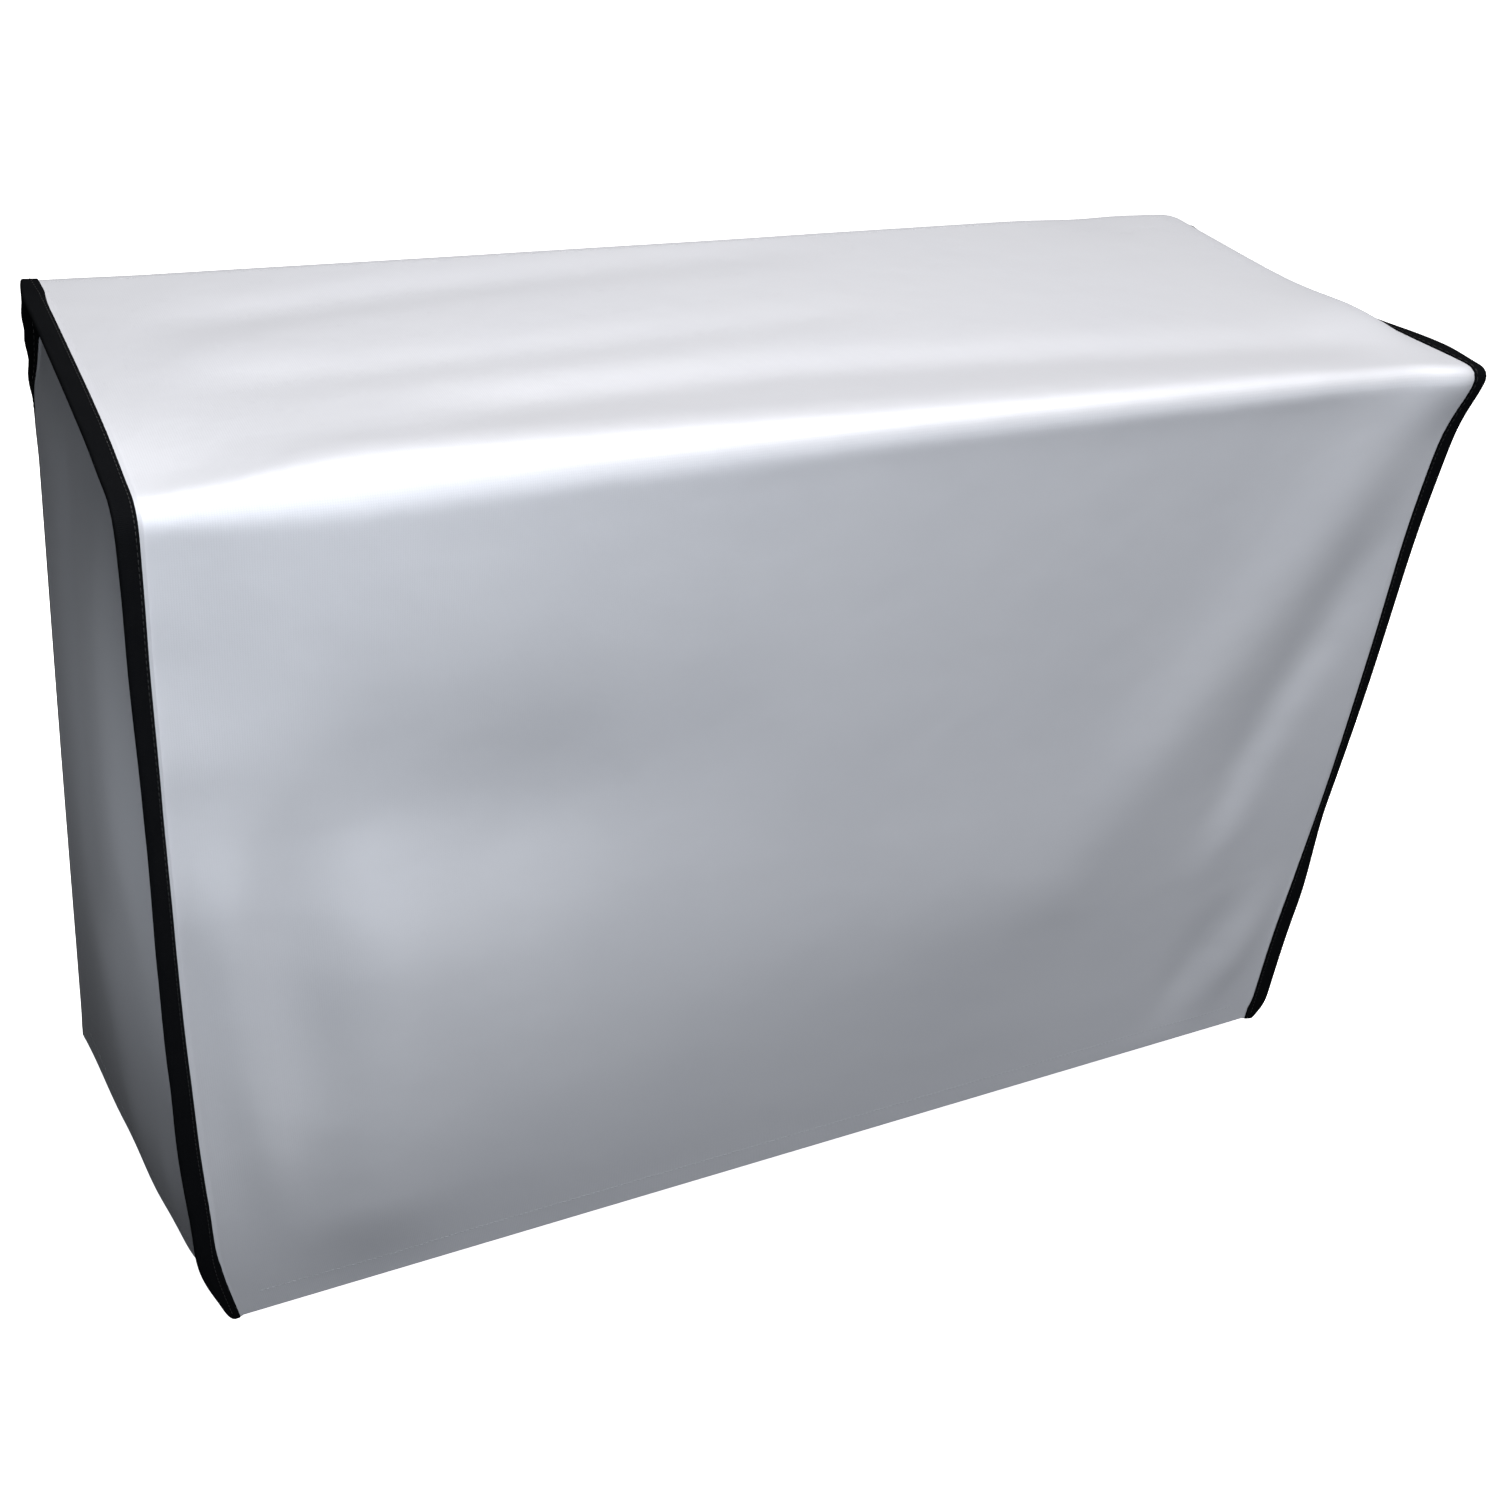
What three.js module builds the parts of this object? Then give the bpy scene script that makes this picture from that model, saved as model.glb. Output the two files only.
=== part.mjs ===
// A fitted cover for the outdoor unit of a split air conditioner, hanging as it does over the unit.
// One strip of silver-coated cloth runs up the front, over the top and down the back. A silver side
// panel closes each end, and each end seam stands out as a flange with a black tape folded over it.
// The bottom is open, and each panel's lower edge is turned in as a hem.
// Millimetres. +X is to the right of someone facing the front, -Y is the front and +Z is up.
// The origin is the middle of the underside of the top, where it lies on the unit.
import * as THREE from "three";

// The size that the cover is sold by, and how far in its two long edges are rounded.
const WIDTH = 800;
const DEPTH = 280;
const HEIGHT = 540;
const EDGE_RADIUS = 36;

// They are rounded in full near the left of the front, and less by these shares elsewhere.
const TIGHTNESS = [
  { x: -400, front: 0.7, back: 0.21 },
  { x: -340, front: 0.74, back: 0.3 },
  { x: -150, front: 0.6, back: 0.35 },
  { x: 0, front: 0.46, back: 0.35 },
  { x: 200, front: 0.38, back: 0.35 },
  { x: 330, front: 0.3, back: 0.32 },
  { x: 400, front: 0.24, back: 0.58 },
];

// What it is sewn from.
const CLOTH = 1.2;
const TAPE = 1.0;
const GAP = 0.3;
const FLANGE = 15.7; // from the seam to the folded edge of the tape
const FLANGE_END = { across: 3, along: 12 }; // how far its corners at both lower edges are rounded off
const TAPE_ROOT = 3.2; // the tape's two raw edges stop this far from the seam
const HEM = 20; // depth of the turned-in lower edge
const HEM_STEP = 1.5;
const HEM_FOLD = 1.4; // what the turned-in layer adds inside
const HEM_CALM = 70; // folds and bellies die out over this distance from the lower edge

// How finely the cloth is divided.
const RISE_STEPS = 19;
const RISE_CROWDING = 1.25; // above 1 the steps are closer together near the top
const EDGE_SHARES = [0.22, 0.38, 0.5, 0.62, 0.78, 1]; // lines across each rounded edge, closest in its middle
const TOP_STEPS = 8;
const EDGE_COLUMNS = [5, 14, 27]; // how far in from each seam the closer columns lie
const MIDDLE_STEPS = 21;

const ease = (t) => {
  const c = THREE.MathUtils.clamp(t, 0, 1);
  return c * c * (3 - 2 * c);
};

// A bend through a right angle that starts and ends gently: at a share of its length, how far it has
// gone in and up, in its own lengths.
const BEND_STEPS = 200;
const BEND = [[0, 0]];
for (let i = 0; i < BEND_STEPS; i++) {
  const angle = (Math.PI / 2) * ease((i + 0.5) / BEND_STEPS);
  const [inward, upward] = BEND[i];
  BEND.push([inward + Math.sin(angle) / BEND_STEPS, upward + Math.cos(angle) / BEND_STEPS]);
}
const bendAt = (share) => BEND[Math.round(share * BEND_STEPS)];

// The strip is measured by x across it and by s along it, from the front hem to the back hem.
const RISE = HEIGHT - EDGE_RADIUS;
const ARC = EDGE_RADIUS / bendAt(1)[0];
const TOP_RUN = DEPTH - 2 * EDGE_RADIUS;
const LOOP = 2 * RISE + 2 * ARC + TOP_RUN;
const frontAt = (z) => HEIGHT + z;
const topAt = (y) => LOOP / 2 + y;
const backAt = (z) => LOOP - HEIGHT - z;
const onFront = (x, z, ...more) => [x, frontAt(z), ...more];
const onTop = (x, y, ...more) => [x, topAt(y), ...more];
const onBack = (x, z, ...more) => [x, backAt(z), ...more];

// How far each upright seam hangs from the corner of a true box, by height.
const HANG = {
  leftFront: [
    { z: -540, dx: 30, dy: 9, dz: -10 },
    { z: -490, dx: 18.5, dy: 3.5, dz: -3 },
    { z: -440, dx: 14.9, dy: 1.5, dz: -1 },
    { z: -385, dx: 11.6, dy: 2, dz: -1 },
    { z: -285, dx: 7, dy: 4, dz: -1 },
    { z: -210, dx: 5.3, dy: 5, dz: -1 },
    { z: -100, dx: 5, dy: 8.3, dz: -1 },
    { z: 0, dx: 5.5, dy: 11, dz: 0 },
  ],
  rightFront: [
    { z: -540, dx: 7, dy: -1, dz: 0 },
    { z: -440, dx: 5, dy: -1, dz: 0 },
    { z: -340, dx: 8.5, dy: -2, dz: 0 },
    { z: -210, dx: 5, dy: -3, dz: 0 },
    { z: -60, dx: -1, dy: -4, dz: 0 },
    { z: 0, dx: -1.5, dy: -5, dz: 0.5 },
  ],
  leftBack: [
    { z: -540, dx: -8, dy: 1, dz: -5 },
    { z: -290, dx: -3.2, dy: 1, dz: 0 },
    { z: -110, dx: 1, dy: 2, dz: 1 },
    { z: -70, dx: 2, dy: 3, dz: 1 },
    { z: -40, dx: 8, dy: 3, dz: 1 },
    { z: 0, dx: 10, dy: 4, dz: 2 },
  ],
  rightBack: [
    { z: -540, dx: 4, dy: 4, dz: 0 },
    { z: -250, dx: 2, dy: 5, dz: 0 },
    { z: 0, dx: -2, dy: 8, dz: 5 },
  ],
};

// Where the cloth is pulled out of line, dying out over the reach.
const PULLS = [
  { at: [WIDTH / 2, RISE + ARC / 2], reach: 23, shift: [3, -9, 1] }, // a dog-ear at the right front
  { at: onTop(WIDTH / 2, -60), reach: 46, shift: [2, 0, 6] }, // the top is held up behind it
];

// Soft ridges and troughs of the strip. Each follows a path, with the height at each of its points, and
// a height below 0 is a trough.
const STRIP_FOLDS = [
  // The front bellies out along its lower third and draws in above.
  {
    path: [
      onFront(-330, -405, 1), onFront(-200, -388, 2.5), onFront(-50, -362, 4.5),
      onFront(110, -348, 6.5), onFront(215, -338, 4),
    ],
    width: 95,
  },
  {
    path: [
      onFront(-362, -176, 0), onFront(-292, -188, -6.5), onFront(-215, -204, -9),
      onFront(-120, -200, -3.5), onFront(-10, -196, 0),
    ],
    width: 66,
  },
  // The pull from the right top corner swings down into that belly.
  { path: [onFront(175, -345, 2), onFront(245, -240, 5), onFront(310, -140, 5), onFront(372, -40, 4)], width: 42 },
  {
    path: [
      onFront(292, -380, 0), onFront(318, -270, -5),
      onFront(360, -160, -5), onFront(390, -60, -1),
    ],
    width: 26,
  },
  { path: [onFront(305, -400, 0), onFront(322, -330, 2), onFront(345, -250, 2), onFront(362, -190, 0)], width: 18 },
  { path: [onFront(346, -540, 2), onFront(368, -460, 3.5), onFront(388, -380, 0)], width: 18 },
  { path: [onFront(302, -540, -1.5), onFront(325, -460, -3), onFront(345, -390, 0)], width: 20 },
  // The cloth is drawn back beside the left seam, and puckers lower down.
  {
    path: [
      onFront(-410, -10, -10), onFront(-410, -80, -9),
      onFront(-405, -160, -5), onFront(-400, -240, 0),
    ],
    width: 60,
  },
  {
    path: [
      onFront(-380, -190, 0), onFront(-374, -260, 2.5),
      onFront(-367, -400, 3), onFront(-362, -490, 0),
    ],
    width: 14,
  },
  {
    path: [
      onFront(-348, -150, 0), onFront(-345, -230, -2.5),
      onFront(-340, -330, -2.5), onFront(-338, -410, 0),
    ],
    width: 22,
  },
  {
    path: [
      onFront(-302, -190, 0), onFront(-290, -310, 6),
      onFront(-298, -420, 7), onFront(-308, -540, 6),
    ],
    width: 40,
  },
  // The top lies on the unit in long shallow creases, with a fuller roll along its front edge.
  {
    path: [
      onTop(-378, 48, 0), onTop(-300, 68, -2), onTop(-180, 88, -2),
      onTop(0, 104, -1.5), onTop(110, 112, 0),
    ],
    width: 20,
  },
  {
    path: [
      onTop(-280, -76, 0), onTop(-180, -70, -3), onTop(-40, -64, -3),
      onTop(150, -74, -3), onTop(330, -90, -2), onTop(380, -94, 0),
    ],
    width: 20,
  },
  {
    path: [
      onTop(-380, -30, 0), onTop(-300, -22, -1.5), onTop(-120, -8, -1.5),
      onTop(0, 2, -1), onTop(90, 10, 0),
    ],
    width: 18,
  },
  { path: [onTop(-370, -112, 0), onTop(-280, -112, 2.5), onTop(280, -124, 2.5), onTop(370, -128, 0)], width: 18 },
  { path: [onTop(-380, 18, 0), onTop(-330, 16, 1.5), onTop(-260, 12, 0)], width: 30 },
  // The back hangs in a few plain folds.
  {
    path: [
      onBack(-235, -20, 0), onBack(-250, -80, 4), onBack(-280, -300, 7),
      onBack(-300, -460, 7), onBack(-305, -540, 6),
    ],
    width: 50,
  },
  {
    path: [
      onBack(-110, -60, 0), onBack(-125, -180, -4),
      onBack(-140, -400, -6), onBack(-150, -540, -5),
    ],
    width: 45,
  },
  { path: [onBack(70, -120, 0), onBack(55, -260, 6), onBack(35, -420, 8), onBack(28, -540, 6)], width: 60 },
  { path: [onBack(315, -20, -2), onBack(280, -160, -6), onBack(240, -310, -5), onBack(215, -400, 0)], width: 40 },
];

// Ridges and troughs of the side panels, by y and z.
const SIDE_FOLDS = {
  left: [
    { path: [[-15, -20, 0], [-20, -70, 3], [-28, -240, 3], [-32, -340, 0]], width: 34 },
    { path: [[72, -30, 0], [70, -90, -3], [62, -310, -3], [58, -420, 0]], width: 36 },
    { path: [[-20, -545, 4], [-8, -480, 4.5], [25, -390, 4], [50, -330, 0]], width: 45 },
    { path: [[-88, -545, 8], [-84, -500, 6], [-80, -420, 0]], width: 30 },
    { path: [[-105, -50, -5], [0, -58, -7], [95, -60, -5]], width: 45 },
  ],
  right: [
    { path: [[45, -40, 0], [38, -110, 4], [15, -350, 4], [5, -450, 0]], width: 40 },
    { path: [[-64, -70, 0], [-58, -150, -4], [-42, -450, -4], [-38, -540, -2]], width: 34 },
  ],
};
const SIDE_FULLNESS = 4; // how far a side panel bellies out
const SIDE_EASE = 90; // the belly rises over this distance from the seam
const CORNER_REACH = 0.3; // its upper corners are shaped over this share of its depth

// Beside the right seam the strip rolls in over the unit's edge, so that the seam lies this deep.
const ROLL = [
  { s: topAt(-130), depth: 0 },
  { s: topAt(-50), depth: 7 },
  { s: topAt(110), depth: 7 },
  { s: backAt(-90), depth: 0 },
];
const ROLL_REACH = 16;

// Where the flange is cut back at a corner.
const TRIM = {
  left: [
    { s: frontAt(-545), reach: 48, deep: 7 },
    { s: backAt(-8), reach: 22, deep: 5.5 },
    { s: backAt(-540), reach: 12, deep: 5 },
  ],
  right: [
    { s: frontAt(-540), reach: 12, deep: 5 },
    { s: backAt(-540), reach: 12, deep: 5 },
  ],
};

// How far the flange leans from straight out, in degrees, by distance along the strip.
// Above 0 it leans towards the outside of the strip.
const LEAN = {
  left: [
    { s: frontAt(-540), lean: 3 },
    { s: frontAt(-500), lean: 9 },
    { s: frontAt(-455), lean: 19 },
    { s: frontAt(-400), lean: 12 },
    { s: frontAt(-330), lean: 26 },
    { s: frontAt(-255), lean: 33 },
    { s: frontAt(-180), lean: 41 },
    { s: frontAt(-60), lean: 34 },
    { s: topAt(-100), lean: 22 },
    { s: topAt(-40), lean: 18 },
    { s: topAt(60), lean: 20 },
    { s: topAt(105), lean: 18 },
    { s: backAt(-4), lean: 2 },
    { s: backAt(-20), lean: 36 },
    { s: backAt(-36), lean: 60 },
    { s: backAt(-56), lean: 82 },
    { s: backAt(-84), lean: 104 },
    { s: backAt(-540), lean: 106 },
  ],
  right: [
    { s: frontAt(-540), lean: 15 },
    { s: frontAt(-430), lean: 13 },
    { s: frontAt(-340), lean: -17 },
    { s: frontAt(-210), lean: -9 },
    { s: frontAt(-60), lean: 0 },
    { s: frontAt(-4), lean: -8 },
    { s: topAt(-110), lean: 2 },
    { s: topAt(-50), lean: -16 },
    { s: topAt(100), lean: -20 },
    { s: backAt(-60), lean: 10 },
    { s: backAt(-540), lean: 30 },
  ],
};

const silver = new THREE.MeshStandardMaterial({ color: 0xb4b7be, roughness: 0.42, metalness: 0.6 });
const black = new THREE.MeshStandardMaterial({ color: 0x0c0d11, roughness: 0.75, metalness: 0 });

// How high one fold stands at a point of the cloth: as high as at the nearest point of its path, dying
// out to both sides.
function foldAt({ path, width }, a, b) {
  let [least, height] = [Infinity, 0];
  for (let i = 1; i < path.length; i++) {
    const [a0, b0, h0] = path[i - 1];
    const [a1, b1, h1] = path[i];
    const along = ((a - a0) * (a1 - a0) + (b - b0) * (b1 - b0)) / ((a1 - a0) ** 2 + (b1 - b0) ** 2);
    const t = THREE.MathUtils.clamp(along, 0, 1);
    const off = Math.hypot(a - a0 - t * (a1 - a0), b - b0 - t * (b1 - b0));
    if (off < least) [least, height] = [off, h0 + (h1 - h0) * ease(t)];
  }
  return height * Math.exp(-((least / width) ** 2));
}

const foldHeight = (folds, a, b) => folds.reduce((sum, fold) => sum + foldAt(fold, a, b), 0);

// A table's value at a place between two of its rows, eased from one to the next.
function between(table, key, at, name) {
  const next = THREE.MathUtils.clamp(table.findIndex((row) => row[key] >= at), 1, table.length - 1);
  const [a, b] = [table[next - 1], table[next]];
  return a[name] + (b[name] - a[name]) * ease((at - a[key]) / (b[key] - a[key]));
}

// A point of the true box's rounded section at s, with the way that the strip faces there.
function section(x, s) {
  const half = DEPTH / 2;
  const mirrored = s > LOOP / 2;
  const t = mirrored ? LOOP - s : s;
  // A straight stretch, the bend, and a straight stretch again.
  const tight = between(TIGHTNESS, "x", x, mirrored ? "back" : "front");
  const bent = ARC * tight;
  const straight = EDGE_RADIUS * (1 - tight);
  const gone = THREE.MathUtils.clamp((t - RISE) / ARC, 0, 1) * (bent + 2 * straight) - straight;
  const share = THREE.MathUtils.clamp(gone / bent, 0, 1);
  const angle = (Math.PI / 2) * ease(share);
  const [ny, nz] = [-Math.cos(angle), Math.sin(angle)];
  const [inward, upward] = bendAt(share);
  let y = bent * inward + Math.max(0, gone - bent) - half;
  let z = bent * (upward - bendAt(1)[1]) + Math.min(0, gone);
  if (t > RISE + ARC) y = t - LOOP / 2;
  if (t < RISE) z = t - HEIGHT;
  return mirrored ? { y: -y, z, ny: -ny, nz } : { y, z, ny, nz };
}

// How much of a fold is left this near the lower edge.
const aboveHem = (z) => ease((z + HEIGHT) / HEM_CALM);

// Runs a smooth curve through the rows of one upright seam.
function hanging(rows) {
  const heights = rows.map((row) => row.z);
  const shifts = rows.flatMap((row) => [row.dx, row.dy, row.dz]);
  const curve = new THREE.CubicInterpolant(heights, shifts, 3);
  return (z) => new THREE.Vector3(...curve.evaluate(THREE.MathUtils.clamp(z, -HEIGHT, 0)));
}
const UPRIGHTS = {
  leftFront: hanging(HANG.leftFront),
  rightFront: hanging(HANG.rightFront),
  leftBack: hanging(HANG.leftBack),
  rightBack: hanging(HANG.rightBack),
};

// How far a point of the cloth hangs from the true box, shared out between the four uprights.
function hang(x, y, z) {
  const right = x / WIDTH + 0.5;
  const front = UPRIGHTS.leftFront(z).lerp(UPRIGHTS.rightFront(z), right);
  const back = UPRIGHTS.leftBack(z).lerp(UPRIGHTS.rightBack(z), right);
  return front.lerp(back, y / DEPTH + 0.5);
}

// How deep the strip has rolled in beside the right seam.
function roll(x, s) {
  const inward = THREE.MathUtils.clamp(1 - (WIDTH / 2 - x) / ROLL_REACH, 0, 1);
  const depth = between(ROLL, "s", THREE.MathUtils.clamp(s, ROLL[0].s, ROLL.at(-1).s), "depth");
  return depth * (1 - Math.sqrt(1 - inward ** 2));
}

// The strip's own surface, half way between the two cloths where they meet at a seam.
function stripPoint(x, s) {
  const { y, z, ny, nz } = section(x, s);
  const height = foldHeight(STRIP_FOLDS, x, s) * aboveHem(z) - roll(x, s);
  const point = new THREE.Vector3(x, y + height * ny, z + height * nz);
  for (const pull of PULLS) {
    const near = Math.exp(-((Math.hypot(x - pull.at[0], s - pull.at[1]) / pull.reach) ** 2));
    point.addScaledVector(new THREE.Vector3(...pull.shift), near);
  }
  return point.add(hang(x, y, z));
}

// Stations along the strip, with two lines close together at the top of each hem.
function stations() {
  const list = [0, 3, 9, HEM];
  const foot = HEM + HEM_STEP;
  for (let i = 0; i <= RISE_STEPS; i++) list.push(RISE - (RISE - foot) * (1 - i / RISE_STEPS) ** RISE_CROWDING);
  for (const share of EDGE_SHARES) list.push(RISE + ARC * share);
  for (let i = 1; i < TOP_STEPS; i++) list.push(RISE + ARC + (TOP_RUN * i) / TOP_STEPS);
  const down = list.filter((s) => s <= RISE + ARC + 1e-6).map((s) => LOOP - s);
  return [...list, ...down.reverse()];
}

// Columns across the strip, closer together beside the seams.
function columns() {
  const right = [0, ...EDGE_COLUMNS].map((inset) => WIDTH / 2 - inset);
  const middle = right.at(-1);
  const list = [];
  for (let i = 1; i < MIDDLE_STEPS; i++) list.push(middle * ((2 * i) / MIDDLE_STEPS - 1));
  return [...right.map((x) => -x), ...list, ...right.reverse()];
}

const STATIONS = stations();
const COLUMNS = columns();
const LAST = STATIONS.length - 1;
const SHOULDER = STATIONS.findIndex((s) => s > RISE + ARC - 1e-6); // the station where the top begins
const isHem = (i) => Math.min(STATIONS[i], LOOP - STATIONS[i]) <= HEM;

// The way that a grid of points faces at one of them, from the lines that cross there.
function facing(grid, i, j) {
  const at = (r, c) =>
    grid[THREE.MathUtils.clamp(r, 0, grid.length - 1)][THREE.MathUtils.clamp(c, 0, grid[0].length - 1)];
  const across = at(i, j + 1).clone().sub(at(i, j - 1));
  const along = at(i + 1, j).clone().sub(at(i - 1, j));
  return across.cross(along).normalize();
}

const STRIP = STATIONS.map((s) => COLUMNS.map((x) => stripPoint(x, s)));
const STRIP_FACING = STRIP.map((row, i) => row.map((_, j) => facing(STRIP, i, j)));

// One end's seam, as a frame at each station: the point, the way out along the flange, the way that
// the strip's layer of the flange faces, and how far the flange reaches.
function seam(side) {
  const column = side < 0 ? 0 : COLUMNS.length - 1;
  const lean = side < 0 ? LEAN.left : LEAN.right;
  const trims = side < 0 ? TRIM.left : TRIM.right;
  return STATIONS.map((s, i) => {
    const point = STRIP[i][column];
    const along = STRIP[Math.min(i + 1, LAST)][column].clone().sub(STRIP[Math.max(i - 1, 0)][column]);
    along.normalize();
    const straight = new THREE.Vector3(side, 0, 0);
    // At the hems the flange ends level with them, elsewhere it stands square to the seam.
    const square = ease(Math.min(s, LOOP - s) / 45);
    straight.addScaledVector(along, -straight.dot(along) * square).normalize();
    const face = along.clone().cross(straight).normalize().multiplyScalar(-side);
    const angle = THREE.MathUtils.degToRad(between(lean, "s", s, "lean"));
    const out = straight.clone().multiplyScalar(Math.cos(angle)).addScaledVector(face, Math.sin(angle));
    face.multiplyScalar(Math.cos(angle)).addScaledVector(straight, -Math.sin(angle));
    const toHem = Math.min(1, Math.min(s, LOOP - s) / FLANGE_END.along);
    let reach = FLANGE - FLANGE_END.across * (1 - Math.sqrt(1 - (1 - toHem) ** 2));
    for (const cut of trims) reach -= cut.deep * Math.exp(-(((s - cut.s) / cut.reach) ** 2));
    return { point, out, face, reach };
  });
}

const flangePoint = (frame, out, face) =>
  frame.point.clone().addScaledVector(frame.out, out).addScaledVector(frame.face, face);

// Where two faces of one cloth meet in a fold, at the same distance from the line they turn about.
const mitre = (point, a, b, distance) =>
  point.clone().addScaledVector(a.clone().add(b), distance / (1 + a.dot(b)));

// One closed surface from its points, its quads, each cut from its first corner to its third, and
// any single triangles.
function solid(points, quads, triangles = []) {
  const geometry = new THREE.BufferGeometry().setFromPoints(points);
  geometry.setIndex([...triangles, ...quads.flatMap(([a, b, c, d]) => [a, b, c, a, c, d])]);
  geometry.computeVertexNormals();
  return geometry;
}

// The same quad facing the other way, and a quad turned so that its cut is the shorter one.
const turned = ([a, b, c, d]) => [a, d, c, b];
const shortest = (points, [a, b, c, d]) =>
  points[a].distanceTo(points[c]) > points[b].distanceTo(points[d]) ? [b, c, d, a] : [a, b, c, d];

// A cloth with two faces. The quads are given for the outer face, and the inner one lies behind it.
function cloth(quads, outer, inner) {
  const count = outer.length;
  const edges = new Map();
  for (const quad of quads)
    quad.forEach((a, i) => {
      const b = quad[(i + 1) % quad.length];
      if (!edges.delete(`${b} ${a}`)) edges.set(`${a} ${b}`, [a, b]);
    });
  const behind = quads.map((quad) => turned(quad.map((n) => n + count)));
  const rim = [...edges.values()].map(([a, b]) => [b, a, a + count, b + count]);
  return solid([...outer, ...inner], [...quads, ...behind, ...rim]);
}

const OUTER = GAP / 2 + CLOTH;
const INNER = GAP / 2;
const FLANGE_LINES = 2;
// Where the lines of the flange's cloth lie: beside the tape's raw edges, and at the cloth's own.
const flangeLines = (frame) => [TAPE_ROOT, frame.reach - TAPE - GAP];

// The strip: front, top and back in one, with a layer of flange at each end.
function stripGeometry() {
  const ends = [seam(-1), seam(1)];
  const perRow = COLUMNS.length + 2 * FLANGE_LINES;
  const outer = [];
  const inner = [];
  STATIONS.forEach((_, i) => {
    const layer = (frame, out) => {
      outer.push(flangePoint(frame, out, OUTER));
      inner.push(flangePoint(frame, out, INNER));
    };
    flangeLines(ends[0][i]).reverse().forEach((out) => layer(ends[0][i], out));
    COLUMNS.forEach((_, j) => {
      const atSeam = j === 0 ? ends[0][i] : j === COLUMNS.length - 1 ? ends[1][i] : null;
      const faces = STRIP_FACING[i][j];
      const other = atSeam ? atSeam.face : faces;
      const fold = isHem(i) && !atSeam ? HEM_FOLD : 0;
      outer.push(mitre(STRIP[i][j], faces, other, OUTER));
      inner.push(mitre(STRIP[i][j], faces, other, INNER - fold));
    });
    flangeLines(ends[1][i]).forEach((out) => layer(ends[1][i], out));
  });
  const quads = [];
  for (let i = 0; i < LAST; i++)
    for (let j = 0; j < perRow - 1; j++) {
      const a = i * perRow + j;
      const quad = [a, a + 1, a + 1 + perRow, a + perRow];
      if (j < FLANGE_LINES) quads.push([a + 1, a + 1 + perRow, a + perRow, a]);
      else quads.push(j >= perRow - 1 - FLANGE_LINES ? quad : shortest(outer, quad));
    }
  return cloth(quads, outer, inner);
}

// A side panel's own surface. Each pair of stations at one height, front and back, makes a row that runs
// straight across. The last rows rise evenly to the seam along the top, and bend out to its corners.
function sidePoints(side) {
  const frames = seam(side);
  const folds = side < 0 ? SIDE_FOLDS.left : SIDE_FOLDS.right;
  const rows = [];
  for (let r = 0; r <= SHOULDER; r++) {
    const row = [];
    const [front, back] = [frames[r].point, frames[LAST - r].point];
    const level = Math.min(r, SHOULDER - EDGE_SHARES.length);
    const risen = THREE.MathUtils.clamp((STATIONS[r] - RISE) / ARC, 0, 1);
    const onRow = (c) => {
      const low = frames[level].point.clone().lerp(frames[LAST - level].point, c / TOP_STEPS);
      return low.lerp(frames[SHOULDER + c].point, risen);
    };
    for (let c = 0; c <= TOP_STEPS; c++) {
      const above = frames[SHOULDER + c].point;
      const point = onRow(c);
      for (const [corner, end] of [[front, 0], [back, TOP_STEPS]]) {
        const near = Math.max(0, 1 - Math.abs(c - end) / TOP_STEPS / CORNER_REACH) ** 2;
        point.addScaledVector(corner.clone().sub(onRow(end)), near);
      }
      const inset = Math.min(point.distanceTo(front), point.distanceTo(back), above.z - point.z);
      const belly = SIDE_FULLNESS + foldHeight(folds, point.y, point.z);
      point.x += side * belly * ease(inset / SIDE_EASE);
      row.push(point);
    }
    rows.push(row);
  }
  return { frames, rows };
}

function sideGeometry(side) {
  const { frames, rows } = sidePoints(side);
  const outer = [];
  const inner = [];
  const number = (r, c) => r * (TOP_STEPS + 1) + c;
  const points = rows.flat();
  const grid = [];
  for (let r = 0; r < SHOULDER; r++)
    for (let c = 0; c < TOP_STEPS; c++)
      grid.push(shortest(points, [number(r, c), number(r, c + 1), number(r + 1, c + 1), number(r + 1, c)]));
  const normals = solid(points, grid).getAttribute("normal");
  const stationAt = (r, c) => (r === SHOULDER ? r + c : c === 0 ? r : c === TOP_STEPS ? LAST - r : -1);
  rows.forEach((row, r) =>
    row.forEach((point, c) => {
      const faces = new THREE.Vector3().fromBufferAttribute(normals, number(r, c)).multiplyScalar(side);
      const station = stationAt(r, c);
      const other = station < 0 ? faces : frames[station].face.clone().negate();
      const fold = isHem(r) && station < 0 ? HEM_FOLD : 0;
      outer.push(mitre(point, faces, other, OUTER));
      inner.push(mitre(point, faces, other, INNER - fold));
    }),
  );
  const quads = [];
  const add = (quad) => quads.push(side > 0 ? quad : turned(quad));
  grid.forEach(add);

  // The flange's layer, fixed to the panel all along the seam.
  const rim = (i) =>
    i <= SHOULDER ? number(i, 0) : i >= LAST - SHOULDER ? number(LAST - i, TOP_STEPS) : number(SHOULDER, i - SHOULDER);
  const firstFlange = outer.length;
  for (const frame of frames)
    for (const out of flangeLines(frame)) {
      outer.push(flangePoint(frame, out, -OUTER));
      inner.push(flangePoint(frame, out, -INNER));
    }
  const line = (i, k) => (k === 0 ? rim(i) : firstFlange + i * FLANGE_LINES + k - 1);
  for (let i = 0; i < LAST; i++)
    for (let k = 0; k < FLANGE_LINES; k++) add([line(i, k), line(i + 1, k), line(i + 1, k + 1), line(i, k + 1)]);
  return cloth(quads, outer, inner);
}

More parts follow.
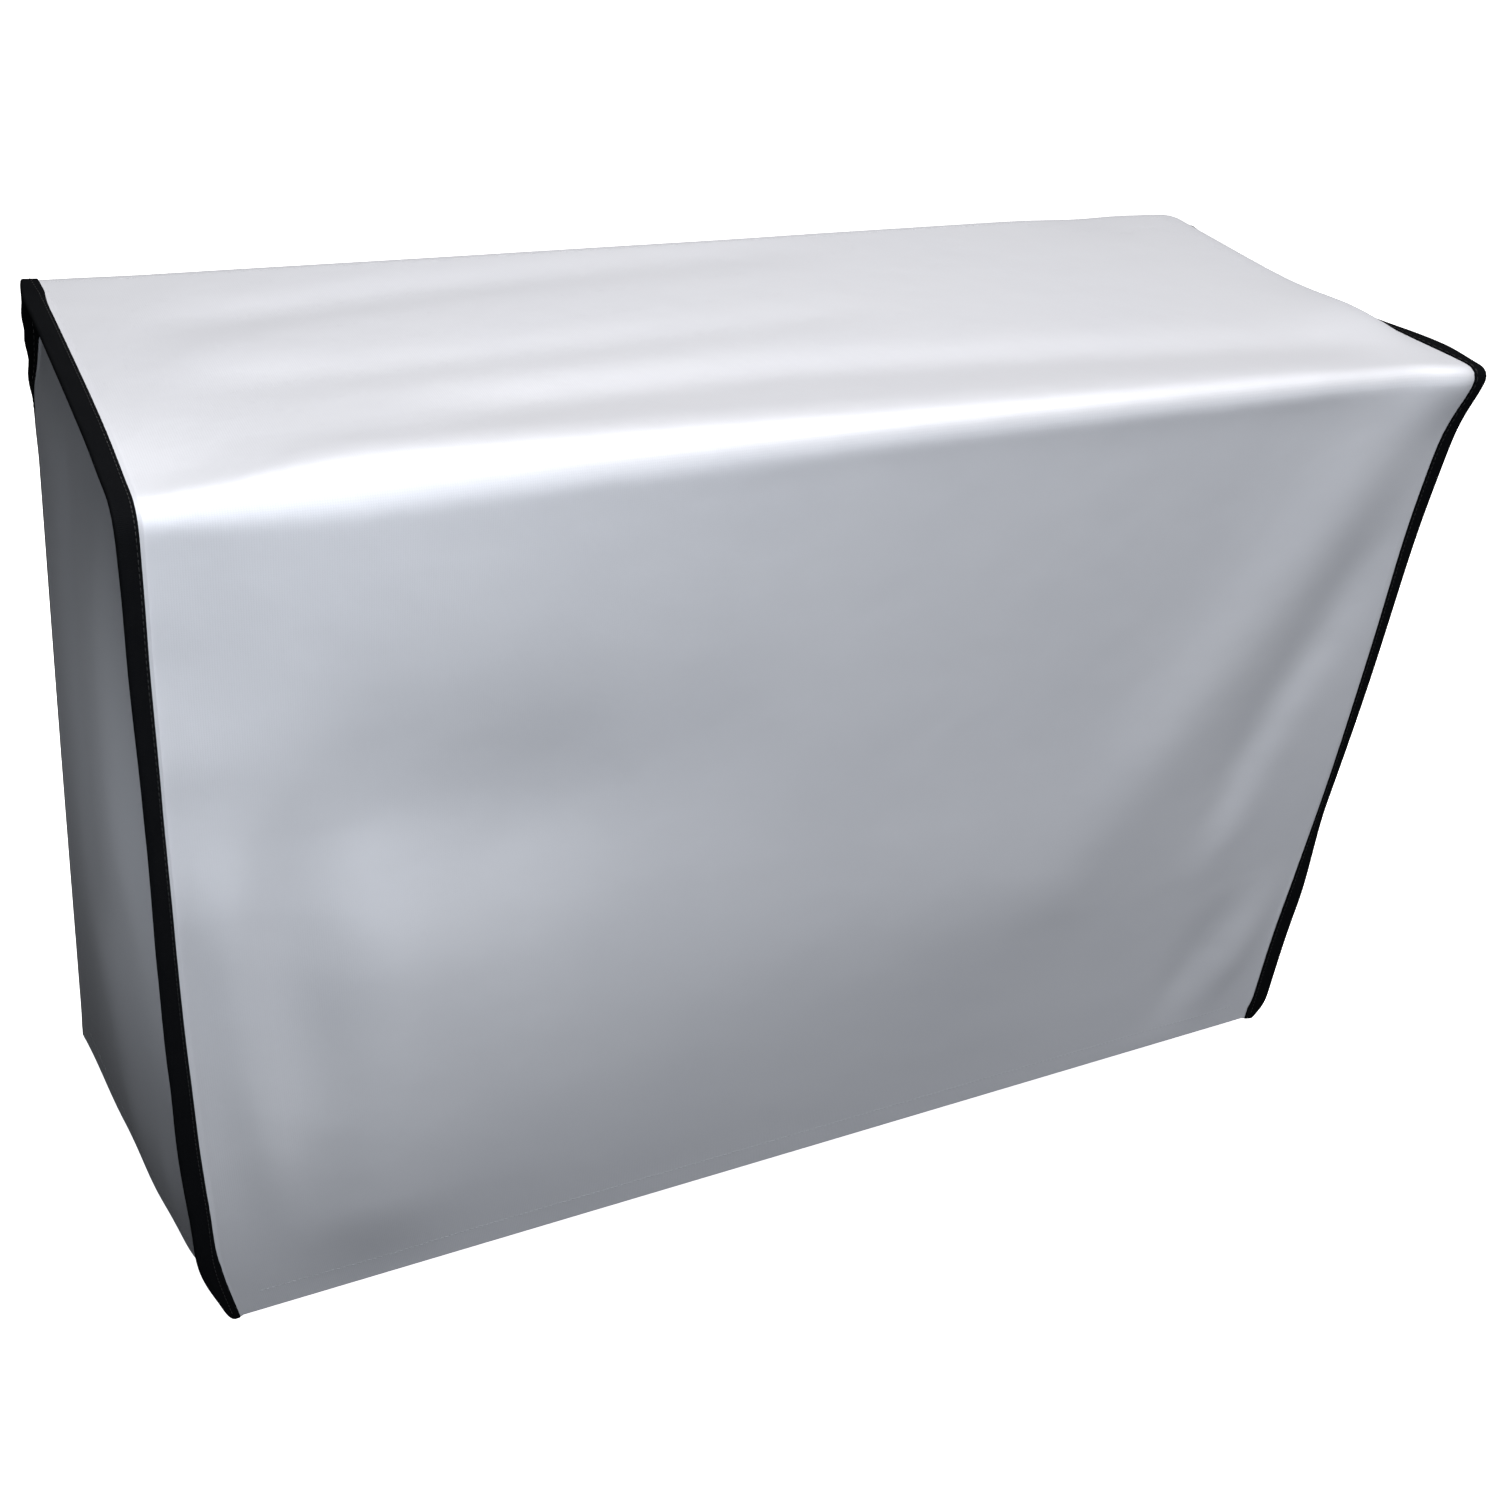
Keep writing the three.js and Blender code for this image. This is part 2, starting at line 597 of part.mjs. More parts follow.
// The tape: a folded section carried along the seam, open towards the cloth that it binds.
function tapeGeometry(side) {
  const inside = OUTER + GAP;
  const outside = inside + TAPE;
  const corner = TAPE; // the folded edge is chamfered by this much
  const profile = ({ reach }) => [
    [TAPE_ROOT, outside],
    [reach - corner, outside],
    [reach, outside - corner],
    [reach, corner - outside],
    [reach - corner, -outside],
    [TAPE_ROOT, -outside],
    [TAPE_ROOT, -inside],
    [reach - TAPE, -inside],
    [reach - TAPE, inside],
    [TAPE_ROOT, inside],
  ];
  const frames = seam(side);
  const count = profile(frames[0]).length;
  const points = frames.flatMap((frame) => profile(frame).map(([out, face]) => flangePoint(frame, out, face)));
  const quads = [];
  for (let i = 0; i < LAST; i++)
    for (let j = 0; j < count; j++) {
      const k = (j + 1) % count;
      const climb = profile(frames[i])[k][0] - profile(frames[i])[j][0];
      const [low, high] = climb < 0 ? [k, j] : [j, k];
      const wall = [i * count + low, i * count + high, (i + 1) * count + high, (i + 1) * count + low];
      const quad = climb === 0 ? shortest(points, wall) : wall;
      quads.push(climb >= 0 === side > 0 ? quad : turned(quad));
    }
  const cap = THREE.ShapeUtils.triangulateShape(
    profile(frames[0]).map(([out, face]) => new THREE.Vector2(out, face)),
    [],
  );
  const capAt = (i, turned) =>
    cap.flatMap(([a, b, c]) => (turned ? [c, b, a] : [a, b, c]).map((n) => n + i * count));
  return solid(points, quads, [...capAt(0, side < 0), ...capAt(LAST, side > 0)]);
}

const cover = new THREE.Group();
function add(name, geometry, material) {
  const mesh = new THREE.Mesh(geometry, material);
  mesh.name = name;
  cover.add(mesh);
}

add("front_top_back_strip", stripGeometry(), silver);
for (const [name, side] of [["left", -1], ["right", 1]]) {
  add(`${name}_side_panel`, sideGeometry(side), silver);
  add(`${name}_binding_tape`, tapeGeometry(side), black);
}

export default cover;
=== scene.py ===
"""A fitted silver cover for an air conditioner's outdoor unit, on a pale stage.

Each cloth is laid out flat as it is cut, in millimetres, and then every point of it is moved to
where it hangs. The cut stays with the cloth as a UV map in metres, which the weave follows.
"""

import math

import bmesh
import bpy
import numpy as np
from bpy.props import FloatProperty, FloatVectorProperty, PointerProperty
from bpy.types import Operator, Panel, PropertyGroup
from mathutils import Matrix, Vector


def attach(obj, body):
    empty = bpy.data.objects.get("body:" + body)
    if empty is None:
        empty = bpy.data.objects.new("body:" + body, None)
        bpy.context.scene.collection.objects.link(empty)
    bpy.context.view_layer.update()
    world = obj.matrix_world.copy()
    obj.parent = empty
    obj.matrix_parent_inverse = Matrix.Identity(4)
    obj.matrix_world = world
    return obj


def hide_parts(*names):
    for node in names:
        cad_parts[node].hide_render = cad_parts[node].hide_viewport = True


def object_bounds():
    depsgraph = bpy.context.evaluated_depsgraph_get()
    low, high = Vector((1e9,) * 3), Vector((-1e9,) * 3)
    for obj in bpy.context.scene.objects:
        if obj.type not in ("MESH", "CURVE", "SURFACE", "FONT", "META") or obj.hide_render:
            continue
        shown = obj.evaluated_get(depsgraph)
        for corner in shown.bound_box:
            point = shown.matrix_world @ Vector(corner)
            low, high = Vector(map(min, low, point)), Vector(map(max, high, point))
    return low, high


bl_info = {
    "name": "Air Conditioner Cover",
    "version": (1, 0, 0),
    "blender": (4, 5, 0),
    "location": "3D View > Sidebar > Cover",
    "description": "Sews a fitted silver cover with black bound seams and sets it on a pale stage",
    "category": "Add Mesh",
}

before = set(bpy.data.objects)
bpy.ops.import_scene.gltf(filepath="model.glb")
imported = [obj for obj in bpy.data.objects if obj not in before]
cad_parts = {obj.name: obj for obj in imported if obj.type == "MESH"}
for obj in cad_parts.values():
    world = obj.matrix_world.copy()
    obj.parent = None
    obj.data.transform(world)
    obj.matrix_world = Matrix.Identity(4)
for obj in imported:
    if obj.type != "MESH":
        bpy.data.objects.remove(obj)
CAD_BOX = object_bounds()
MM = 0.001


def linear(hex_colour):
    """The linear colour of an sRGB hex value."""
    parts = [int(hex_colour[i : i + 2], 16) / 255 for i in (1, 3, 5)]
    return tuple(c / 12.92 if c <= 0.04045 else ((c + 0.055) / 1.055) ** 2.4 for c in parts)


# Sizes and colours


def length(name, description, millimetres):
    return FloatProperty(
        name=name,
        description=description,
        default=millimetres * MM,
        min=0.0,
        subtype="DISTANCE",
        unit="LENGTH",
    )


def colour(name, description, hex_colour):
    return FloatVectorProperty(
        name=name,
        description=description,
        default=linear(hex_colour),
        size=3,
        min=0.0,
        max=1.0,
        subtype="COLOR",
    )


def watts(name, description, power):
    return FloatProperty(name=name, description=description, default=power, unit="POWER")


class CoverSizes(PropertyGroup):
    """What the cover measures."""

    width: length("Width", "From end seam to end seam", 800)
    depth: length("Depth", "From front to back", 280)
    height: length("Height", "From the top to the hem", 540)
    edge_radius: length("Edge radius", "How far in the two long edges of the top are rounded", 36)
    cloth: length("Cloth", "Thickness of the coated cloth", 0.5)
    hem: length("Hem", "Depth of the turned-in lower edge", 20)
    flange: length("Flange", "From an end seam to the folded edge of its tape", 15.7)
    tape: length("Tape", "Thickness of the binding tape", 0.7)
    tape_width: length("Tape width", "Width of the binding tape before it is folded", 25)
    stitch: length("Stitch pitch", "From one stitch to the next", 3.4)


class CoverColours(PropertyGroup):
    """What the cover is coloured."""

    silver: colour("Silver", "Aluminium coating of the cloth", "#B9BCC3")
    shade: colour("Shaded silver", "The coating where it is a little thinner", "#B0B3BB")
    backing: colour("Backing", "Uncoated inner face of the cloth", "#8B8D92")
    tape: colour("Tape", "Black woven tape", "#040507")
    thread: colour("Tape thread", "Thread along the tape", "#08090B")
    hem_thread: colour("Hem thread", "Thread along the hems", "#8F929A")


class StageSettings(PropertyGroup):
    """The floor, the lights and the camera."""

    floor: colour("Floor", "Plain pale floor", "#F4F4F5")
    overhead: watts("Overhead", "Power of the light overhead", 77.0)
    front: watts("Front", "Power of the light in front", 48.5)
    left: watts("Left", "Power of the light at the left front", 0.6)
    side: watts("Side", "Power of the light at the left side", 0.18)
    lens: FloatProperty(
        name="Lens", description="Focal length of the camera", default=45.57, unit="CAMERA"
    )


# How the cover hangs, in millimetres

# What share of their full radius the two long edges are rounded to, from left to right.
TIGHTNESS = {
    "x": [-400, -340, -150, 0, 200, 330, 400],
    "front": [0.7, 0.74, 0.6, 0.46, 0.38, 0.3, 0.24],
    "back": [0.21, 0.3, 0.35, 0.35, 0.35, 0.32, 0.58],
}

# How far each upright seam hangs from the corner of a true box, by height: z, dx, dy, dz.
HANG = {
    "left front": [
        (-540, 30, 9, -10), (-490, 18.5, 3.5, -3), (-440, 14.9, 1.5, -1), (-385, 11.6, 2, -1),
        (-285, 7, 4, -1), (-210, 5.3, 5, -1), (-100, 5, 8.3, -1), (0, 5.5, 11, 0),
    ],
    "right front": [
        (-540, 7, -1, 0), (-440, 5, -1, 0), (-340, 8.5, -2, 0), (-210, 5, -3, 0), (-60, -1, -4, 0),
        (0, -1.5, -5, 0.5),
    ],
    "left back": [
        (-540, -8, 1, -5), (-290, -3.2, 1, 0), (-110, 1, 2, 1), (-70, 2, 3, 1), (-40, 8, 3, 1),
        (0, 10, 4, 2),
    ],
    "right back": [(-540, 4, 4, 0), (-250, 2, 5, 0), (0, -2, 8, 5)],
}

# Where the strip is pulled out of line: panel, x, y or z, reach, and the shift.
PULLS = [
    ("edge", 400, 0, 23, (3, -9, 1)),
    ("top", 400, -60, 46, (2, 0, 6)),
]

# Soft ridges of the strip, and troughs where the height is below 0: the panel, the path's points
# by x and z, or by x and y on the top, each with the height there, then the width.
STRIP_FOLDS = [
    # The front bellies out along its lower third and draws in above.
    ("front", [
        (-330, -405, 1), (-200, -388, 2.5), (-50, -362, 4.5), (110, -348, 6.5), (215, -338, 4),
    ], 95),
    ("front", [
        (-362, -176, 0), (-292, -188, -6.5), (-215, -204, -9), (-120, -200, -3.5), (-10, -196, 0),
    ], 66),
    # The pull from the right top corner swings down into that belly.
    ("front", [(175, -345, 2), (245, -240, 5), (310, -140, 5), (372, -40, 4)], 42),
    ("front", [(292, -380, 0), (318, -270, -5), (360, -160, -5), (390, -60, -1)], 26),
    ("front", [(305, -400, 0), (322, -330, 2), (345, -250, 2), (362, -190, 0)], 18),
    ("front", [(346, -540, 2), (368, -460, 3.5), (388, -380, 0)], 18),
    ("front", [(302, -540, -1.5), (325, -460, -3), (345, -390, 0)], 20),
    # The cloth is drawn back beside the left seam, and puckers lower down.
    ("front", [(-410, -10, -10), (-410, -80, -9), (-405, -160, -5), (-400, -240, 0)], 60),
    ("front", [(-380, -190, 0), (-374, -260, 2.5), (-367, -400, 3), (-362, -490, 0)], 14),
    ("front", [(-348, -150, 0), (-345, -230, -2.5), (-340, -330, -2.5), (-338, -410, 0)], 22),
    ("front", [(-302, -190, 0), (-290, -310, 6), (-298, -420, 7), (-308, -540, 6)], 40),
    # The top lies on the unit in long shallow creases, with a fuller roll along its front edge.
    ("top", [(-378, 48, 0), (-300, 68, -2), (-180, 88, -2), (0, 104, -1.5), (110, 112, 0)], 20),
    ("top", [
        (-280, -76, 0), (-180, -70, -3), (-40, -64, -3), (150, -74, -3), (330, -90, -2),
        (380, -94, 0),
    ], 20),
    ("top", [(-380, -30, 0), (-300, -22, -1.5), (-120, -8, -1.5), (0, 2, -1), (90, 10, 0)], 18),
    ("top", [(-370, -112, 0), (-280, -112, 2.5), (280, -124, 2.5), (370, -128, 0)], 18),
    ("top", [(-380, 18, 0), (-330, 16, 1.5), (-260, 12, 0)], 30),
    # The back hangs in a few plain folds.
    ("back", [
        (-235, -20, 0), (-250, -80, 4), (-280, -300, 7), (-300, -460, 7), (-305, -540, 6),
    ], 50),
    ("back", [(-110, -60, 0), (-125, -180, -4), (-140, -400, -6), (-150, -540, -5)], 45),
    ("back", [(70, -120, 0), (55, -260, 6), (35, -420, 8), (28, -540, 6)], 60),
    ("back", [(315, -20, -2), (280, -160, -6), (240, -310, -5), (215, -400, 0)], 40),
]

# The same of the side panels, by y and z.
SIDE_FOLDS = {
    -1: [
        ([(-15, -20, 0), (-20, -70, 3), (-28, -240, 3), (-32, -340, 0)], 34),
        ([(72, -30, 0), (70, -90, -3), (62, -310, -3), (58, -420, 0)], 36),
        ([(-20, -545, 4), (-8, -480, 4.5), (25, -390, 4), (50, -330, 0)], 45),
        ([(-88, -545, 8), (-84, -500, 6), (-80, -420, 0)], 30),
        ([(-105, -50, -5), (0, -58, -7), (95, -60, -5)], 45),
    ],
    1: [
        ([(45, -40, 0), (38, -110, 4), (15, -350, 4), (5, -450, 0)], 40),
        ([(-64, -70, 0), (-58, -150, -4), (-42, -450, -4), (-38, -540, -2)], 34),
    ],
}
SIDE_FULLNESS = 4  # how far the side panels stand out all over
SIDE_EASE = 90  # and how far in from their seams they have come to that
CORNER_REACH = 0.3  # over this share of the depth, their rows bend out to an upright seam
HEM_CALM = 70  # over this height above the hem, the strip's folds die out

# How deep the strip rolls in beside the right seam, by place, and how far in the roll reaches.
ROLL = [("top", -130, 0), ("top", -50, 7), ("top", 110, 7), ("back", -90, 0)]
ROLL_REACH = 16

# The flange's corners at both lower edges are rounded off by this much across it and along it.
FLANGE_END = (3, 12)

# Where the flange is cut back: panel, place, how far along the cut reaches, and how deep.
FLANGE_TRIM = {
    -1: [("front", -545, 48, 7), ("back", -8, 22, 5.5), ("back", -540, 12, 5)],
    1: [("front", -540, 12, 5), ("back", -540, 12, 5)],
}

# Over this length above the hems, the flange turns from level with them to square to its seam.
FLANGE_TURN = 45

# How far the flange leans from straight out, in degrees, by place along the seam. Above 0 it
# leans towards the outside of the strip.
LEAN = {
    -1: [
        ("front", -540, 3), ("front", -500, 9), ("front", -455, 19), ("front", -400, 12),
        ("front", -330, 26), ("front", -255, 33), ("front", -180, 41), ("front", -60, 34),
        ("top", -100, 22), ("top", -40, 18), ("top", 60, 20), ("top", 105, 18), ("back", -4, 2),
        ("back", -20, 36), ("back", -36, 60), ("back", -56, 82), ("back", -84, 104),
        ("back", -540, 106),
    ],
    1: [
        ("front", -540, 15), ("front", -430, 13), ("front", -340, -17), ("front", -210, -9),
        ("front", -60, 0), ("front", -4, -8), ("top", -110, 2), ("top", -50, -16),
        ("top", 100, -20), ("back", -60, 10), ("back", -540, 30),
    ],
}

# How the layers lie.
SEAM_GAP = 0.3  # between the two cloths of an end seam
TAPE_GAP = 0.05  # between a cloth and the tape over it
TAPE_ROOM = 0.3  # between the raw edges of the cloths and the fold of the tape
TAPE_CLEAR = 1.5  # at least, between the edges of the tape and the seam
HEM_GAP = 0.3  # between a hem's two layers
HEM_BEND = 0.6  # from the lower edge, to where a hem's fold ends on both sides

# The stitches.
STITCH_GAP = 0.8  # from the end of one to the next
STITCH_SPREAD = 1.3  # how many times wider than high one is
TAPE_THREAD = 0.22  # half the height of a stitch on a tape
HEM_THREAD = 0.2  # and of one on a hem
TAPE_STITCH_OUT = 5.4  # from the seam out to the row on its tape
TAPE_STITCH_START = 7  # from a tape's end to the middle of its first stitch
TAPE_STITCH_BARE = 12  # length without stitches, at both ends together
HEM_STITCH_IN = 2.5  # from a hem's raw edge down to its row
HEM_STITCH_START = 16
HEM_STITCH_BARE = 30

# Where the lines of the flat grids lie: closer together near the seams and the lower edges.
SEAM_LINES = (0, 1, 2.5, 5, 9, 14)  # in from a seam
FLANGE_LINES = (0.8, 2, 5, 9)  # out from a seam
HEM_LINES = (-3, -1.2, -0.6, 0, 0.6, 1.2, 3)  # up from the lower edge
TAPE_END_LINES = (0, 0.7, 1.6, 3, 5, 7, 9)  # along the tape from its end
EVEN_FROM = 20  # from here in from a seam, they are evenly spaced
TAPE_EVEN_FROM = 11  # and from here in from a tape's end
GRID = 6  # from one even line to the next
STRIP_ACROSS = 6.2  # across the strip
TAPE_GRID = 4  # along the tapes
TAPE_ACROSS = 1.6  # across them
STRIP_BEND_GRID = 3  # along the strip's rounded edges
BEND_GRID = 2  # beside them, on the side panels and the tapes
APART = 0.05  # lines closer together than this are made one
ON_LINE = 0.01  # a point of a flat grid that is this close to a line lies on it
SAME = 1e-6  # the same, for places that are worked out

# How the surface is worked out.
BEND_STEPS = 200  # along a rounded edge
STEP = 0.4  # to each side of a point, for the strip's slopes
WIDE_STEP = 2  # and for those of its seams and of the side panels
RIM_CLEAR = 0.5  # how far short of a side panel's rim the last of these points lies


def ease(t):
    """From 0 to 1, gently at both ends."""
    t = np.clip(t, 0, 1)
    return t * t * (3 - 2 * t)


def eased(places, values, at):
    """The value at each place, eased from one row of a table to the next."""
    places, values = np.array(places, float), np.array(values, float)
    after = np.clip(np.searchsorted(places, at), 1, len(places) - 1)
    share = (at - places[after - 1]) / (places[after] - places[after - 1])
    return values[after - 1] + (values[after] - values[after - 1]) * ease(share)


def smooth_curve(places, values, at):
    """A smooth curve through a table's rows."""
    places, values = np.array(places, float), np.array(values, float)
    slopes = np.gradient(values, places, axis=0, edge_order=1)
    at = np.clip(at, places[0], places[-1])
    after = np.clip(np.searchsorted(places, at), 1, len(places) - 1)
    span = (places[after] - places[after - 1])[:, None]
    t = (at - places[after - 1])[:, None] / span
    return (
        (2 * t**3 - 3 * t**2 + 1) * values[after - 1]
        + (t**3 - 2 * t**2 + t) * span * slopes[after - 1]
        + (3 * t**2 - 2 * t**3) * values[after]
        + (t**3 - t**2) * span * slopes[after]
    )


def fold_height(path, width, a, b):
    """How high one fold stands at each point of the cloth: as high as at the nearest point of its
    path, dying out to both sides."""
    least, height = np.full(np.shape(a), np.inf), np.zeros(np.shape(a))
    for (a0, b0, h0), (a1, b1, h1) in zip(path, path[1:]):
        along = ((a - a0) * (a1 - a0) + (b - b0) * (b1 - b0)) / ((a1 - a0) ** 2 + (b1 - b0) ** 2)
        t = np.clip(along, 0, 1)
        off = np.hypot(a - a0 - t * (a1 - a0), b - b0 - t * (b1 - b0))
        height = np.where(off < least, h0 + (h1 - h0) * ease(t), height)
        least = np.minimum(least, off)
    return height * np.exp(-((least / width) ** 2))


def unit(vectors):
    return vectors / np.linalg.norm(vectors, axis=-1, keepdims=True)


def mitred(one, other, lay):
    """How far from a seam's middle two cloths meet that face these ways and both lie `lay` from it,
    at most twice as far."""
    corner = unit(one + other)
    return corner * (lay / np.clip((corner * one).sum(1), 0.5, 1))[:, None]


class Drape:
    """The cover's surface as it hangs. The strip is measured by x across it and by s along it, from
    the front hem to the back one, and the side panels by y and z."""

    def __init__(self, sizes):
        self.width = sizes.width / MM
        self.depth = sizes.depth / MM
        self.height = sizes.height / MM
        self.radius = sizes.edge_radius / MM
        self.hem = sizes.hem / MM
        self.flange = sizes.flange / MM
        self.cloth = sizes.cloth / MM
        self.tape = sizes.tape / MM
        self.tape_width = sizes.tape_width / MM
        self.pitch = sizes.stitch / MM
        self.rise = self.height - self.radius
        self.bend = self.bent_edge()
        self.arc = self.radius / self.bend[1][-1]
        self.run = self.depth - 2 * self.radius
        self.loop = 2 * self.rise + 2 * self.arc + self.run
        # From a seam's middle to each of its cloths, and to each side of its tape.
        self.lay = self.cloth / 2 + SEAM_GAP / 2
        self.wrap = self.lay + self.cloth / 2 + TAPE_GAP + self.tape / 2
        # From a cloth in to its hem's turned-in layer, and from a seam out to the raw edges.
        self.turn = self.cloth + HEM_GAP
        self.tucked = self.flange - self.tape - TAPE_ROOM
        self.folds = [
            ([(x, self.along(panel, at), tall) for x, at, tall in path], width)
            for panel, path, width in STRIP_FOLDS
        ]

    @staticmethod
    def bent_edge():
        """A bend through a right angle that starts and ends gently: for shares of its length, how
        far it has gone in and how far up, in its own lengths."""
        share = np.linspace(0, 1, BEND_STEPS + 1)
        angle = math.pi / 2 * ease(share)

        def gone(slope):
            return np.concatenate([[0], np.cumsum((slope[1:] + slope[:-1]) / 2 * share[1])])

        return share, gone(np.sin(angle)), gone(np.cos(angle))

    def along(self, panel, at):
        """How far along the strip a place on one of its panels is."""
        return {
            "front": self.height + at,
            "edge": self.rise + self.arc / 2 + at,
            "top": self.loop / 2 + at,
            "back": self.loop - self.height - at,
        }[panel]

    def section(self, x, s):
        """A point of the true box's rounded section, with the way that the strip faces there."""
        half = self.depth / 2
        mirrored = s > self.loop / 2
        t = np.where(mirrored, self.loop - s, s)
        tight = np.where(
            mirrored,
            eased(TIGHTNESS["x"], TIGHTNESS["back"], x),
            eased(TIGHTNESS["x"], TIGHTNESS["front"], x),
        )
        # A straight stretch, the bend, and a straight stretch again.
        bent = self.arc * tight
        straight = self.radius * (1 - tight)
        gone = np.clip((t - self.rise) / self.arc, 0, 1) * (bent + 2 * straight) - straight
        shares, inward, upward = self.bend
        share = np.clip(gone / bent, 0, 1)
        angle = math.pi / 2 * ease(share)
        ny, nz = -np.cos(angle), np.sin(angle)
        y = bent * np.interp(share, shares, inward) + np.maximum(gone - bent, 0) - half
        z = bent * (np.interp(share, shares, upward) - upward[-1]) + np.minimum(gone, 0)
        y = np.where(t > self.rise + self.arc, t - self.loop / 2, y)
        z = np.where(t < self.rise, t - self.height, z)
        flip = np.where(mirrored, -1, 1)
        return y * flip, z, ny * flip, nz

    def hang(self, x, y, z):
        """How far a point hangs from the true box, shared out between the four uprights."""
        seams = {}
        for name, rows in HANG.items():
            rows = np.array(rows, float)
            seams[name] = smooth_curve(rows[:, 0], rows[:, 1:], np.clip(z, -self.height, 0))
        right = (x / self.width + 0.5)[:, None]
        back = (y / self.depth + 0.5)[:, None]
        front_shift = seams["left front"] * (1 - right) + seams["right front"] * right
        back_shift = seams["left back"] * (1 - right) + seams["right back"] * right
        return front_shift * (1 - back) + back_shift * back

    def strip(self, x, s):
        """Points of the strip's own surface."""
        x, s = np.broadcast_arrays(np.asarray(x, float), np.asarray(s, float))
        y, z, ny, nz = self.section(x, s)
        height = np.zeros_like(x)
        for path, width in self.folds:
            height += fold_height(path, width, x, s)
        height *= ease((z + self.height) / HEM_CALM)
        inward = np.clip(1 - (self.width / 2 - x) / ROLL_REACH, 0, 1)
        places = [self.along(panel, at) for panel, at, _ in ROLL]
        depth = eased(places, [row[2] for row in ROLL], np.clip(s, places[0], places[-1]))
        height -= depth * (1 - np.sqrt(1 - inward**2))
        points = np.stack([x, y + height * ny, z + height * nz], -1)
        for panel, px, at, reach, shift in PULLS:
            near = np.exp(-((np.hypot(x - px, s - self.along(panel, at)) / reach) ** 2))
            points = points + near[:, None] * np.array(shift, float)
        return points + self.hang(x, y, z)

    def strip_facing(self, x, s):
        """The way that the strip faces."""
        across = self.strip(x + STEP, s) - self.strip(x - STEP, s)
        along = self.strip(x, s + STEP) - self.strip(x, s - STEP)
        return unit(np.cross(across, along))

    def seam(self, side, s):
        """An end seam's frame at each s: the point, the way out along the flange, the way that the
        strip's layer of the flange faces, and how far the flange reaches."""
        s = np.asarray(s, float)
        x = np.full(s.shape, side * self.width / 2)
        point = self.strip(x, s)
        after = self.strip(x, np.minimum(s + WIDE_STEP, self.loop))
        before = self.strip(x, np.maximum(s - WIDE_STEP, 0))
        along = unit(after - before)
        # At the hems the flange ends level with them, elsewhere it stands square to the seam.
        square = ease(np.minimum(s, self.loop - s) / FLANGE_TURN)[:, None]
        straight = unit(np.array([side, 0, 0]) - along * (along[:, :1] * side * square))
        face = unit(np.cross(along, straight)) * -side
        places = [self.along(panel, at) for panel, at, _ in LEAN[side]]
        lean = np.radians(eased(places, [row[2] for row in LEAN[side]], s))[:, None]
        out = straight * np.cos(lean) + face * np.sin(lean)
        face = face * np.cos(lean) - straight * np.sin(lean)
        to_hem = np.clip(np.minimum(s, self.loop - s) / FLANGE_END[1], 0, 1)
        reach = self.flange - FLANGE_END[0] * (1 - np.sqrt(1 - (1 - to_hem) ** 2))
        for panel, at, wide, deep in FLANGE_TRIM[side]:
            reach = reach - deep * np.exp(-(((s - self.along(panel, at)) / wide) ** 2))
        return point, out, face, reach

    def on_flange(self, side, s, out, face):
        """Points this far out along a flange, and this far from its middle the way it faces."""
        point, outward, facing, _ = self.seam(side, s)
        return point + outward * np.asarray(out)[:, None] + facing * np.asarray(face)[:, None]

    def layer(self, points, facing, turned):
        """Where a cloth lies by its surface, and where its hem does inside it, for how far past the
        lower edge each point is cut."""
        fold = 0.5 * (1 + np.sin(math.pi / 2 * np.clip(turned / HEM_BEND, -1, 1)))
        return points + facing * (self.lay - fold * self.turn)[:, None]

    def side(self, side, y, z):
        """Points of a side panel's own surface."""
        s = self.upright(z)
        t = np.clip(y / self.depth + 0.5, 0, 1)
        end = np.full(s.shape, side * self.width / 2)
        level = np.minimum(s, self.rise)
        low_front, low_back = self.strip(end, level), self.strip(end, self.loop - level)
        risen = np.clip((s - self.rise) / self.arc, 0, 1)[:, None]

        def on_row(share):
            low = low_front + (low_back - low_front) * share[:, None]
            above = self.strip(end, self.rise + self.arc + self.run * share)
            return low + (above - low) * risen, above

        # The rows rise evenly to the seam along the top, and bend out to its two rounded corners.
        point, above = on_row(t)
        front, back = self.strip(end, s), self.strip(end, self.loop - s)
        for corner, share in ((front, 0.0), (back, 1.0)):
            near = np.clip(1 - np.abs(t - share) / CORNER_REACH, 0, 1)[:, None] ** 2
            point = point + (corner - on_row(np.full(s.shape, share))[0]) * near
        inset = np.minimum(
            np.minimum(np.linalg.norm(point - front, axis=1), np.linalg.norm(point - back, axis=1)),
            np.maximum(above[:, 2] - point[:, 2], 0),
        )
        folds = sum(fold_height(*fold, point[:, 1], point[:, 2]) for fold in SIDE_FOLDS[side])
        point[:, 0] += side * (SIDE_FULLNESS + folds) * ease(inset / SIDE_EASE)
        return point

    def upright(self, z):
        """How far up the strip the height z is. The edge's arc takes the last stretch of it."""
        top = -self.radius
        return np.where(z < top, z + self.height, self.rise + (z - top) * self.arc / self.radius)

    def side_facing(self, side, y, z):
        """The way that a side panel faces, at its rim as it does a little way in."""
        half = self.depth / 2
        y0 = np.clip(y - WIDE_STEP, RIM_CLEAR - half, half - 2 * RIM_CLEAR)
        y1 = np.clip(y + WIDE_STEP, 2 * RIM_CLEAR - half, half - RIM_CLEAR)
        z0 = np.clip(z - WIDE_STEP, -self.height, -2 * RIM_CLEAR)
        z1 = np.clip(z + WIDE_STEP, 2 * RIM_CLEAR - self.height, -RIM_CLEAR)
        ym, zm = (y0 + y1) / 2, (z0 + z1) / 2
        across = self.side(side, y1, zm) - self.side(side, y0, zm)
        up = self.side(side, ym, z1) - self.side(side, ym, z0)
        return unit(np.cross(across, up)) * side

    def above_strip(self, x, s, lift):
        """Points this far above the strip's outer face."""
        lift = self.lay + self.cloth / 2 + lift
        return self.strip(x, s) + self.strip_facing(x, s) * lift[:, None]

